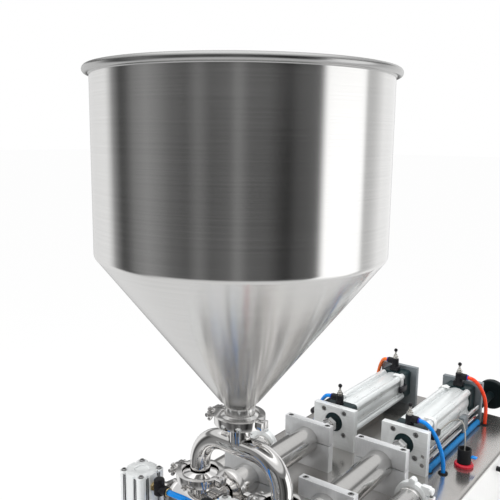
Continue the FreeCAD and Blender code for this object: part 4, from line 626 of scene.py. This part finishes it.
def makeWingNuts():
    s = clampSizes
    level = Matrix.Rotation(radians(-90), 3, "X")
    places = [((0, 0, layout["clampZ"]), Matrix.Identity(3))]
    for side in (-1, 1):
        places.append(((side * lineX, 0, layout["inletZ"]), Matrix.Identity(3)))
        places += [((side * lineX, end * layout["portY"], lineZ), level) for end in (-1, 1)]
    form = bmesh.new()
    for middle, spin in places:
        axle = at(*middle) + spin @ Vector((-s["ring"] - s["bolt"], 0, 0)) * 0.001
        turn(form, nutProfile, axle, spin @ Vector((0, -1, 0)), 28)
        for up in (-1, 1):
            wing(form, [(y, z * up) for y, z in wingOutline], axle, spin)
    finished(form, "wingNuts", "clamp_wing_nuts", ["cast"], 35, weld=False)


# product tubes, valve cylinders, rods and pistons: turned pieces
lineSizes = {"tubeR": 25.4, "tubeIn": 24, "tubeBack": 332, "port": 14, "pushRod": 8, "rod": 10, "nutY": 384,
             "nutT": 12, "productY": 254.75, "pistonT": 30, "driveY": 650, "driveT": 28, "driveR": 24.95,
             "vcylX": 78, "vcylZ": 31, "vcylR": 22, "vcylFront": 108, "vcylBack": 285, "vrodR": 6}


def makeLines():
    s = lineSizes
    edge, front, port = layout["ferrule"], layout["portY"] + 0.75, s["port"]
    outR, inR, back = s["tubeR"], s["tubeIn"], s["tubeBack"]
    form = bmesh.new()
    for side in (-1, 1):
        profile = [(port, front), (edge - 0.4, front), (edge, front + 0.4), (edge, front + 1.9),
                   (edge - 0.5, front + 2.3), (outR + 0.6, front + 4.2), (outR, front + 4.8),
                   (outR, back - 0.3), (outR - 0.3, back), (inR + 0.2, back), (inR, back - 0.3),
                   (inR, front + 5), (port, front + 5), (port, front)]
        turn(form, profile, at(side * lineX, 0, lineZ), "y", 72)
    finished(form, "productTubes", "product_tubes", ["tube"], 35)

    form = bmesh.new()
    r, low, high, hole = s["vcylR"], s["vcylFront"], s["vcylBack"], s["vrodR"] + 0.05
    for side in (-1, 1):
        x = side * (lineX + s["vcylX"])
        profile = [(hole, low - 12), (10, low - 12), (11, low - 11), (11, low), (r - 1, low), (r, low + 1)]
        for groove in (low + 18, high - 26):  # rolled grooves at both ends
            profile += [(r, groove - 0.6), (r - 1.1, groove + 0.6), (r - 1.5, groove + 1.5),
                        (r - 1.1, groove + 2.4), (r, groove + 3.6)]
        profile += [(r, high - 1.2), (r - 1.2, high), (9, high), (8.2, high - 0.8), (7.4, high), (0, high)]
        turn(form, profile, at(x, 0, s["vcylZ"]), "y", 64)
        hollow = [(0, high - 13), (r - 2, high - 13), (r - 2, low + 13), (hole, low + 13), (hole, low - 12)]
        turn(form, hollow, at(x, 0, s["vcylZ"]), "y", 64)
        boss = [(0, r - 3), (6, r - 3), (6, r + 4.4), (5.4, r + 5), (3.4, r + 5), (3.2, r + 1), (0, r + 1)]
        turn(form, boss, at(x, low + 9, s["vcylZ"]), "z", 28)
    finished(form, "valveCylinders", "valve_cylinders", ["tube"], 35)

    rear, nut, nutEnd = s["productY"] + s["pistonT"], s["nutY"], s["nutY"] + s["nutT"]
    drive, driveEnd, driveR = s["driveY"], s["driveY"] + s["driveT"], s["driveR"]
    rodR, pushR = s["rod"], s["pushRod"]
    for hand, side in sides:
        middle = at(side * lineX, 0, lineZ)
        form = bmesh.new()
        turn(form, [(0, rear), (pushR, rear), (pushR, nut + 1), (0, nut + 1)], middle, "y", 40)
        profile = [(0, nut), (12.2, nut), (14.2, nut + 1.2), (15, nut + 1.8), (15, nutEnd - 1.8),
                   (14.2, nutEnd - 1.2), (12.2, nutEnd), (0, nutEnd)]
        turn(form, profile, middle, "y", 6, start=radians(30))
        turn(form, [(0, nutEnd - 0.5), (rodR, nutEnd - 0.5), (rodR, drive + 1), (0, drive + 1)], middle, "y",
             48)
        turn(form, [(0, drive), (driveR - 1, drive), (driveR, drive + 1), (driveR, driveEnd - 1),
                    (driveR - 1, driveEnd), (0, driveEnd)], middle, "y", 48)
        finished(form, f"pistonRod_{hand}", f"piston_rod_{hand}", ["rod"], 25)


# stroke screws with their handwheels; nearer: how far a wheel stands nearer to its plate than in the CAD part
wheelSizes = {"front": 800, "thick": 18, "radius": 34, "hub": 9, "screwR": 4, "pitch": 2, "rear": 724.3,
              "start": 409, "nearer": {"left": 34, "right": 0}}


def arc(middleR, middleY, radius, start, end, step):
    # points of a rounded edge, from one angle in degrees to another
    angles = [radians(a) for a in range(start, end, step)]
    return [(middleR + radius * cos(a), middleY + radius * sin(a)) for a in angles]


def makeStrokeScrews():
    s = wheelSizes
    radius, hubR, screwR, rear = s["radius"], s["hub"], s["screwR"], s["rear"]
    for hand, side in sides:
        front = s["front"] - s["nearer"][hand]
        back = front + s["thick"]
        middle = at(side * (lineX + layout["guideX"]), 0, layout["screwZ"])
        form = bmesh.new()
        thread = [(0, s["start"]), (screwR - 0.5, s["start"])]
        y = s["start"] + 1
        while y < front + 3:  # the thread's flanks
            thread += [(screwR - 0.75, y), (screwR - 0.05, y + s["pitch"] * 0.3),
                       (screwR - 0.05, y + s["pitch"] * 0.6)]
            y += s["pitch"]
        turn(form, thread + [(screwR - 0.5, front + 4), (0, front + 4)], middle, "y", 18)
        hub = [(screwR, rear), (hubR - 0.8, rear), (hubR, rear + 0.8), (hubR, front - 0.6),
               (hubR + 0.6, front)]
        rim = arc(radius - 2.5, front + 2.5, 2.5, -90, 1, 15)
        rim += arc(radius - 4.5, back - 4.5, 4.5, 0, 91, 11)
        dish = [(hubR + 12, back), (hubR + 10.5, back - 0.8), (hubR + 8.5, back - 4.2), (hubR + 5, back - 5),
                (screwR, back - 5), (screwR, rear)]
        turn(form, hub + rim + dish, middle, "y", 72, material=1)
        finished(form, f"strokeWheel_{hand}", f"stroke_screw_{hand}", ["rod", "wheel"], 32)


# throttles, elbows and their collars; profiles are (radius, along) from the place that each is set at
fittingSizes = {"base": 85, "bodyR": 8, "bodyH": 20, "lift": 10, "arm": 18, "hose": 4, "knobLift": 20,
                "ball": 4.2, "supplyX": 120, "supplyR": 6, "supplyFront": 441, "supplyRear": 692, "bend": 10,
                "nozzleY": -122, "nozzlePort": 152, "nozzleWall": 22.5}
fittingProfiles = {
    "throttleFoot": [(0, -0.2), (7.6, -0.2), (8.4, 0.4), (8.4, 3.6), (7.6, 4.2), (0, 4.2)],
    "throttleNut": [(0, -0.2), (5.6, -0.2), (6.3, 0.5), (6.3, 5), (5.6, 5.6), (0, 5.6)],
    "throttleCollar": [(0, 5.5), (4.4, 5.5), (4.4, 8.4), (3.8, 9), (0, 9)],
    "throttleStem": [(0, 9.3), (2.2, 9.3), (2.4, 9.7), (2.4, 11.9), (1.9, 12.3), (2.2, 13.3), (2.2, 17),
                     (0, 17)],
    "cylinderNut": [(0, -0.3), (6.8, -0.3), (7.4, 0.3), (7.4, 4), (6.8, 4.6), (0, 4.6)],
    "cylinderHub": [(0, 4.4), (6.2, 4.4), (6.5, 5), (6.5, 13.8), (5.6, 15), (0, 15)],
    "knuckle": [(0, -6), (5.4, -6), (6, -5.4), (6, 5.4), (5.4, 6), (0, 6)],
    "lugNut": [(0, 6), (5.6, 6), (6.2, 6.6), (6.2, 11.6), (5.6, 12.2), (3.2, 12.2), (2.6, 11.4), (0, 11.4)],
    "nozzleThread": [(0, 0), (5.6, 0), (6.2, 0.5), (6.2, 4), (5.6, 4.5), (4.8, 4.5), (4.8, 12), (0, 12)],
    "nozzleHub": [(0, -8), (6.4, -8), (7.5, -6.8), (7.5, 13), (6.8, 14.6), (5.4, 15.4), (0, 15.4)],
    "supplyRing": [(0, 0), (8.4, 0), (8.4, 1), (7.6, 1.8), (6, 1.8)],
    "supplyBend": [(0, 0), (6, 0), (6, 11), (0, 11)],
}


def pushIn(form, place, along, r, end, hose, body=0, collar=4):
    # a push-in connector, r its radius and end its length: body with rounded shoulder, and release collar
    profile = [(0, -2), (r - 0.4, -2), (r - 0.4, 2), (r, 2.6), (r, end - 1.6), (r - 1.2, end - 0.2),
               (hose + 1.9, end), (hose + 0.2, end), (hose + 0.2, end - 2), (0, end - 2)]
    turn(form, profile, place, along, 36, material=body)
    mouth = [(0.1, -1.5), (1.2, -1.5), (1.2, 0.6), (1.9, 1), (1.9, 1.9), (1.5, 2), (0.1, 2), (0.1, -1.5)]
    turn(form, [(hose + out, end + y) for out, y in mouth], place, along, 32, material=collar)


def makeThrottle(form, x, y, lift, side):
    s, shape = fittingSizes, fittingProfiles
    base, bodyR, top, place = s["base"], s["bodyR"], s["bodyH"] + lift, at(x, y, s["base"])
    turn(form, shape["throttleFoot"], place, "z", 6, start=0.3)
    if lift:  # the rear ones stand on a squat block
        block(form, (x - 10.5, y - 8.5, base + 0.2), (x + 10.5, y + 8.5, base + 12), 2)
    turn(form, [(0, 4), (6.6, 4), (bodyR - 0.2, 5), (bodyR, 6), (bodyR, top - 2.2), (bodyR - 0.5, top - 0.8),
                (bodyR - 1.8, top), (0, top)], place, "z", 44)
    turn(form, shape["throttleNut"], at(x, y, base + top), "z", 6, material=1, start=0.5)
    turn(form, shape["throttleCollar"], at(x, y, base + top), "z", 30, material=1)
    pushIn(form, at(x, y, base + top - 7), (side, 0, 0), 7, s["arm"], s["hose"])


def makeFittings():
    s, shape = fittingSizes, fittingProfiles
    form = bmesh.new()
    for side in (-1, 1):
        x = side * lineX
        makeThrottle(form, x, layout["frontPort"], 0, side)
        makeThrottle(form, x, layout["rearPort"], s["lift"], side)
        # rear elbow of the valve cylinder
        vx, rear, vz = side * (lineX + lineSizes["vcylX"]), lineSizes["vcylBack"], lineSizes["vcylZ"]
        turn(form, shape["cylinderNut"], at(vx, rear, vz), "y", 6, material=1)
        turn(form, shape["cylinderHub"], at(vx, rear, vz), "y", 36, material=1)
        pushIn(form, at(vx, rear + 8, vz), (side, 0, 0), 5.5, 16, s["hose"] - 0.6, body=1, collar=0)
        # knuckle, lug and round nut of the clamp ring round the valve cylinder
        lugX, lugY, lugZ = vx + side * 24, rear - 11, vz + 23
        turn(form, shape["knuckle"], at(vx, lugY, vz + 31), "y", 32, material=5)
        block(form, (lugX - 8, lugY - 5, lugZ - 8), (lugX + 8, lugY + 5, lugZ + 7), 1.6, material=5)
        turn(form, shape["lugNut"], at(lugX, lugY, lugZ), (side, 0, 0), 28, material=5)
        # elbow on the nozzle's actuator
        wall = x - side * s["nozzleWall"]
        hub = at(wall - side * 12, s["nozzleY"], s["nozzlePort"])
        turn(form, shape["nozzleThread"], at(wall, s["nozzleY"], s["nozzlePort"]), (-side, 0, 0), 6,
             material=2)
        turn(form, shape["nozzleHub"], hub, "z", 40)
        outlet = (1, 0, 0) if side < 0 else (0, 1, 0)
        pushIn(form, hub + Vector((0, 0, 0.001)), outlet, 6.5, 16.2, s["hose"], collar=2)
    # the straight supply hose turns down into the table at both ends
    radius = s["supplyR"]
    for y, towards in ((s["supplyFront"], 1), (s["supplyRear"], -1)):
        foot = y - s["bend"] * towards
        turn(form, shape["supplyRing"], at(s["supplyX"], foot, 0), "z", 40)
        dome = [(0, 0.2), (radius, 0.2)] + arc(0, radius + 0.3, radius, 0, 90, 15) + [(0, 2 * radius + 0.3)]
        turn(form, dome, at(s["supplyX"], foot, 0), "z", 40, material=3)
        turn(form, shape["supplyBend"], at(s["supplyX"], foot, radius + 0.3), (0, towards, 0), 36, material=3)
    materials = ["black", "nickel", "brass", "blueBar", "blueCap", "actuator"]
    finished(form, "airFittings", "air_fittings", materials, 34)


def makeThrottleKnobs():
    s, ball, middle = fittingSizes, fittingSizes["ball"], fittingSizes["knobLift"]
    angles = [pi * i / 14 for i in range(1, 14)]
    profile = [(0, middle - ball)] + [(ball * sin(a),
                                       middle - ball * cos(a)) for a in angles] + [(0, middle + ball)]
    for place, y, lift in (("front", layout["frontPort"], 0), ("rear", layout["rearPort"], s["lift"])):
        for hand, side in sides:
            form = bmesh.new()
            head = at(side * lineX, y, s["base"] + s["bodyH"] + lift)
            turn(form, fittingProfiles["throttleStem"], head, "z", 24, material=1)
            turn(form, profile, head, "z", 32)
            name = f"throttle_knob_{place}_{hand}"
            finished(form, f"throttleKnob_{place}_{hand}", name, ["black", "nickel"], 40)


# the cable sleeve with its red foot ring and a small blue tab
glandSizes = {"x": 164, "y": 498, "sleeve": 13, "hole": 10, "height": 36, "steps": (13, 20, 27), "ring": 18.5,
              "ringH": 7, "ringRound": 3.5, "tab": ((12.6, -2, 20), (23.5, 8, 23))}


def makeGland():
    s = glandSizes
    place = at(s["x"], s["y"], 0)
    outR, hole, top, edge = s["sleeve"], s["hole"], s["height"], s["ringRound"]
    form = bmesh.new()
    sleeve = [(hole, 0), (outR, 0), (outR, top - 1), (outR - 0.5, top), (hole + 0.6, top), (hole, top - 1),
              (hole, 0)]
    turn(form, sleeve, place, "z", 48)
    for z in s["steps"]:  # moulded steps down the sleeve
        step = [(outR - 0.3, 0), (outR + 0.25, 0.3), (outR + 0.25, 1.1), (outR - 0.3, 1.4), (outR - 0.3, 0)]
        turn(form, step, at(s["x"], s["y"], z), "z", 48)
    ring = [(outR + 0.05, 0), (s["ring"] - 0.6, 0), (s["ring"], 0.8)]
    for i in range(9):
        angle = radians(90 * i / 8)
        ring.append((s["ring"] - edge + edge * cos(angle), s["ringH"] - edge + edge * sin(angle)))
    turn(form, ring + [(outR + 0.05, s["ringH"]), (outR + 0.05, 0)], place, "z", 56, material=1)
    low, high = ((s["x"] + x, s["y"] + y, z) for x, y, z in s["tab"])
    block(form, low, high, 0.8, material=2)
    finished(form, "cableSleeve", "sensor_gland", ["blackRubber", "red", "blueHose"], 40)


grommetProfile = [(4.3, -3), (6.5, -3), (6.5, 0.05), (9, 0.05), (9.2, 1), (8.6, 2.3), (7.2, 3), (5.2, 2.9),
                  (4.4, 2), (4.3, -3)]


def makeGrommets():
    # one where each hose's route ends in the table
    form = bmesh.new()
    for hand, side in sides:
        spots = [(side * x, y) for x, y, z in (routes["air_hose_front"][-1], routes["air_hose_rear"][-1])]
        for x, y in spots + [routes["nozzle_hose_" + hand][-1][:2]]:
            turn(form, grommetProfile, at(x, y, 0), "z", 36)
    finished(form, "grommets", "hose_grommets", ["blackRubber"], 45)


# socket screws: one head built by nodes and set on every point; places in mm from each line's middle
headSizes = {"radius": 4.6, "height": 5.0, "key": 2.4}
screwSizes = {
    "cover": {"x": 46, "circle": 29, "head": 3.5},
    "cap": {"x": 41, "y": (126.5, 312.5), "z": 85.8, "head": 5.0},
    "plate": {"apart": 23.25, "front": 5.6, "frontHead": 4.7, "rear": 12, "rearHead": 5.0},
    "nozzle": {"apart": 17, "y": -122, "z": 168.2, "head": 3.4},
    "lug": {"x": 33.5, "y": 274, "z": 44, "head": 3.5},
    "foot": {"x": 9, "y": 287, "z": 6, "head": 3.5},
}
screwPlaces = []


def screw(x, y, z, radius, aim=(0, 0, 1)):
    screwPlaces.append((at(x, y, z), Vector(aim), radius / headSizes["radius"]))


def placeScrews():
    cover, cap, plate, nozzle, lug, foot = screwSizes.values()
    ends = (-1, 1)
    for side in ends:
        x = side * lineX
        for turnBy in range(4):
            angle = radians(45 + 90 * turnBy)
            screw(x + side * cover["x"], cover["circle"] * cos(angle), lineZ + cover["circle"] * sin(angle),
                  cover["head"], (side, 0, 0))
        for y in cap["y"]:
            for end in ends:
                screw(x + end * cap["x"], y, cap["z"], cap["head"])
        for u in ends:
            for w in ends:
                across, up = x + u * plate["apart"], lineZ + w * plate["apart"]
                screw(across, layout["plateY"] + plate["front"], up, plate["frontHead"], (0, -1, 0))
                screw(across, layout["rearPlateY"] + plate["rear"], up, plate["rearHead"], (0, 1, 0))
                screw(x + u * nozzle["apart"], nozzle["y"] + w * nozzle["apart"], nozzle["z"], nozzle["head"])
        vx = side * (lineX + lineSizes["vcylX"])
        screw(vx + side * lug["x"], lug["y"], lug["z"], lug["head"])
        for end in ends:
            screw(vx + end * foot["x"], foot["y"], foot["z"], foot["head"])


def lifted(shade, form, z):
    shift = shade.node("ShaderNodeCombineXYZ", {"Z": z})
    return shade.node("GeometryNodeTransform", {"Geometry": form, "Translation": shift})


def combined(shade, kind, parts):
    # parts: the input's number and the form that goes into it
    made = shade.node("GeometryNodeMeshBoolean", {}, {"operation": kind, "solver": "EXACT"})
    for number, part in parts:
        shade.tree.links.new(part.socket, made.socket.node.inputs[number])
    return made


def headTree():
    tree = bpy.data.node_groups.new("socketHeads", "GeometryNodeTree")
    tree.interface.new_socket(name="places", in_out="INPUT", socket_type="NodeSocketGeometry")
    for name in ("radius", "height", "key"):
        tree.interface.new_socket(name=name, in_out="INPUT", socket_type="NodeSocketFloat")
    tree.interface.new_socket(name="steel", in_out="INPUT", socket_type="NodeSocketMaterial")
    tree.interface.new_socket(name="heads", in_out="OUTPUT", socket_type="NodeSocketGeometry")
    shade = Shade(tree)
    given = tree.nodes.new("NodeGroupInput")
    places, radius, height, key, steel = (Value(tree, given.outputs[i]) for i in range(5))
    sockets = {"Vertices": 28, "Radius": radius, "Depth": height * 0.84}
    lower = shade.node("GeometryNodeMeshCylinder", sockets)
    sockets = {"Vertices": 28, "Radius Top": radius * 0.84, "Radius Bottom": radius, "Depth": height * 0.16}
    upper = shade.node("GeometryNodeMeshCone", sockets)
    hexagon = shade.node("GeometryNodeMeshCylinder", {"Vertices": 6, "Radius": key, "Depth": height})
    solids = [(1, lifted(shade, lower, height * 0.42)), (1, lifted(shade, upper, height * 0.84))]
    solid = combined(shade, "UNION", solids)
    drilled = combined(shade, "DIFFERENCE", [(0, solid), (1, lifted(shade, hexagon, height * 1.05))])
    aim = shade.node("GeometryNodeInputNamedAttribute", {"Name": "aim"}, {"data_type": "FLOAT_VECTOR"})
    grow = shade.node("GeometryNodeInputNamedAttribute", {"Name": "grow"}, {"data_type": "FLOAT"})
    turned = shade.node("FunctionNodeAlignRotationToVector", {"Vector": aim}, {"axis": "Z"})
    sockets = {"Points": places, "Instance": drilled, "Rotation": turned, "Scale": grow}
    heads = shade.node("GeometryNodeInstanceOnPoints", sockets)
    real = shade.node("GeometryNodeRealizeInstances", {"Geometry": heads})
    dressed = shade.node("GeometryNodeSetMaterial", {"Geometry": real, "Material": steel})
    tree.links.new(dressed.socket, tree.nodes.new("NodeGroupOutput").inputs[0])
    return tree


def makeScrews():
    # the node tree runs on loose points, and its result is kept as a plain mesh
    placeScrews()
    places, aims, growths = zip(*screwPlaces)
    mesh = bpy.data.meshes.new("screwPlaces")
    mesh.from_pydata(places, [], [])
    layer = mesh.attributes.new("aim", "FLOAT_VECTOR", "POINT")
    layer.data.foreach_set("vector", [part for aim in aims for part in aim])
    mesh.attributes.new("grow", "FLOAT", "POINT").data.foreach_set("value", growths)
    holder = placed("screwPlaces", mesh)
    modifier = holder.modifiers.new("heads", "NODES")
    modifier.node_group = headTree()
    values = {"steel": finish["zinc"], **{name: size * 0.001 for name, size in headSizes.items()}}
    for socket in modifier.node_group.interface.items_tree:
        if socket.name in values:
            modifier[socket.identifier] = values[socket.name]
    graph = bpy.context.evaluated_depsgraph_get()
    form = bmesh.new()
    form.from_mesh(bpy.data.meshes.new_from_object(holder.evaluated_get(graph)))
    holder.modifiers.clear()
    bpy.data.objects.remove(holder)
    finished(form, "socketHeads", "socket_screws", ["zinc"], 30, weld=False)


makeHopper()
makeManifold()
print("hopper and manifold formed")
makeWingNuts()
makeLines()
makeStrokeScrews()
print("lines, rods and wheels turned")
makeFittings()
makeThrottleKnobs()
makeGland()
makeGrommets()
makeScrews()
print("fittings, sleeve, grommets and screws made:", len(screwPlaces), "screws")

# blocks, plates, caps and valves: the solids whose edges get rounded; edge radius in mm and finish
rounded = {
    "tube_saddles": (0.5, "block"), "tube_caps": (0.5, "block"), "drive_end_caps": (0.6, "darkCap"),
    "cylinder_feet": (0.6, "actuator"), "nozzle_actuators": (0.4, "actuator"), "valve_covers": (0.6, "cast"),
    "service_door": (0.5, "cabinetSide"), "drive_barrels": (0.4, "barrel"), "hopper_clamp": (0.5, "cast"),
    "line_clamps": (0.5, "cast"), "valve_bodies": (0.5, "polished"), "nozzle_bodies": (0.4, "polished"),
    "side_handles": (0.3, "black"),
}
slotSizes = {"half": 22.5, "middle": -122.0, "low": 108.0, "high": 167.5, "width": 1.5, "depth": 0.5,
             "apart": (-12.5, -9.5, 9.5, 12.5)}


def makeSlotShadeStrips():
    # dark strips down the four sides of the nozzles' square cylinders: painted shade in their slots
    s = slotSizes
    wide, deep = s["width"] / 2, s["depth"] / 2
    form = bmesh.new()
    for side in (-1, 1):
        x, y = side * lineX, s["middle"]
        for shift in s["apart"]:
            for out in (-s["half"], s["half"]):
                for u, v, a, b in ((x + shift, y + out, wide, deep), (x + out, y + shift, deep, wide)):
                    block(form, (u - a, v - b, s["low"]), (u + a, v + b, s["high"]), 0.0)
    finished(form, "actuatorSlotShade", "nozzle_actuators", ["switch"], 30, weld=False, added=True)


for node, (width, material) in rounded.items():
    softened(node, width, [material])
# the rear end plates take the darker copy of the plate finish: painted shade
softened("end_plates", 0.5, ["plate", "darkSlideAndShadedPlate"], lambda y, z: 1 if y > 600 else 0)
softened("barrel_switches", 0.4, ["clip", "switch"], lambda y, z: 0 if z > 70 else 1)
for hand, _ in sides:
    softened(f"valve_lever_{hand}", 0.5, ["cast"])
    softened(f"switch_slide_{hand}", 0.6, ["darkSlideAndShadedPlate"])
makeSlotShadeStrips()
print("edges rounded")

# grey of the floor, how white the camera sees it, half its width in m, and the camera's side in degrees
room = {"floor": 0.86, "floorGlow": 0.93, "half": 40.0, "cameraSide": -51.6}
# brightness by height: level, where it starts and where it is full, as the sine of the direction's height
layers = [(0.72, 0.38, 0.52), (1.35, 0.66, 0.86), (0.78, -0.45, -0.85)]
# brightness round the room, by the direction that the light comes from: degrees from the camera's own side
bands = [(-180, 0.16), (-170, 0.20), (-163, 0.62), (-155, 0.78), (-117, 0.92), (-112, 0.70), (-107, 0.29),
         (-98, 0.06), (-92, 0.09), (-84, 0.22), (-72, 0.29), (-62, 0.22), (-52, 0.13), (-40, 0.085),
         (-31, 0.18), (-22, 0.085), (-9, 0.115), (-3, 0.22), (5, 0.10), (18, 0.09), (27, 0.035), (33, 0.015),
         (40, 0.07), (57, 0.12), (62, 1.4), (97, 1.4), (101, 0.56), (110, 0.64), (125, 0.98), (157, 0.97),
         (165, 0.40), (171, 0.16)]
# the same higher up, and the heights, as sines, where it starts and is full
upperBands = [(-180, 0.20), (128, 0.20), (140, 0.95), (160.5, 0.95), (164, 0.30), (167, 0.20)]
upperHeights = (0.20, 0.30)


def toSurface(shade, sockets, kind):
    # two shaders mixed by a share, on to the output
    shown = shade.tree.nodes.new("ShaderNodeMixShader")
    for slot, value in zip(shown.inputs, sockets):
        shade.tree.links.new(value.socket, slot)
    shade.tree.links.new(shown.outputs[0], shade.tree.nodes.new(kind).inputs[0])


def risen(shade, z, low, high):
    sockets = {"Value": z, "From Min": low, "From Max": high}
    return shade.node("ShaderNodeMapRange", sockets, {"interpolation_type": "SMOOTHSTEP"})


def makeWorld():
    bpy.context.scene.view_settings.view_transform = "Standard"
    world = bpy.data.worlds.new("studio")
    bpy.context.scene.world = world
    world.use_nodes = True
    shade = Shade(world.node_tree)
    x, y, z = shade.parts(shade.node("ShaderNodeTexCoord", out=0))
    cameraSide = radians(room["cameraSide"])
    along = x * cos(cameraSide) + y * sin(cameraSide)
    across = y * cos(cameraSide) - x * sin(cameraSide)
    swing = across.pair("ARCTAN2", across, along) / (2 * pi) + 0.5
    walls = []
    for wall in (bands, upperBands):
        stops = [((degrees + 180) / 360, (tone, tone, tone)) for degrees, tone in wall]
        walls.append(shade.node("ShaderNodeValToRGB", {"Fac": swing}, {"stops": stops}))
    lit = shade.mix(*walls, risen(shade, z, *upperHeights))
    for tone, low, high in layers:
        lit = shade.mix(lit, (tone, tone, tone), risen(shade, z, low, high))
    studio = shade.node("ShaderNodeBackground", {"Color": lit, "Strength": 1.0})
    white = shade.node("ShaderNodeBackground", {"Color": (1, 1, 1, 1), "Strength": 1.0})
    toSurface(shade, (shade.node("ShaderNodeLightPath", out=0), studio, white), "ShaderNodeOutputWorld")


def makeFloor():
    ground = bpy.data.materials.new("paleFloor")
    ground.use_nodes = True
    shade = Shade(ground.node_tree)
    matt = shade.node("ShaderNodeBsdfDiffuse", {"Color": (room["floor"],) * 3 + (1,)})
    glow = shade.node("ShaderNodeEmission", {"Color": (1, 1, 1, 1), "Strength": 1.0})
    seen = shade.node("ShaderNodeLightPath", out=0) * room["floorGlow"]
    toSurface(shade, (seen, matt, glow), "ShaderNodeOutputMaterial")
    form = bmesh.new()
    bmesh.ops.create_grid(form, x_segments=1, y_segments=1, size=room["half"])
    floor = placed("studioFloor", meshOf(form, "studioFloor"))
    floor.data.materials.append(ground)
    floor.visible_glossy = False


lamps = {
    "overhead": {"from": (0.3, -0.2, 2.6), "to": (0, 0, 0.4), "size": 2.0, "watts": 40},
    "frontLeft": {"from": (-1.3, -2.2, 1.3), "to": (0, 0, 0.5), "size": 1.4, "watts": 36},
    "right": {"from": (2.3, 0.3, 1.1), "to": (0, 0, 0.4), "size": 1.4, "watts": 12},
}


def makeLamps():
    for name, lamp in lamps.items():
        data = bpy.data.lights.new(name, "AREA")
        data.size = lamp["size"]
        data.energy = lamp["watts"]
        light = placed(name, data)
        place = Vector(lamp["from"])
        facing = (place - Vector(lamp["to"])).to_track_quat("Z", "Y").to_matrix().to_4x4()
        light.matrix_world = Matrix.Translation(place) @ facing
        light.visible_glossy = False
        light.visible_camera = False


makeWorld()
makeFloor()
makeLamps()
print("camera, room and lamps set")
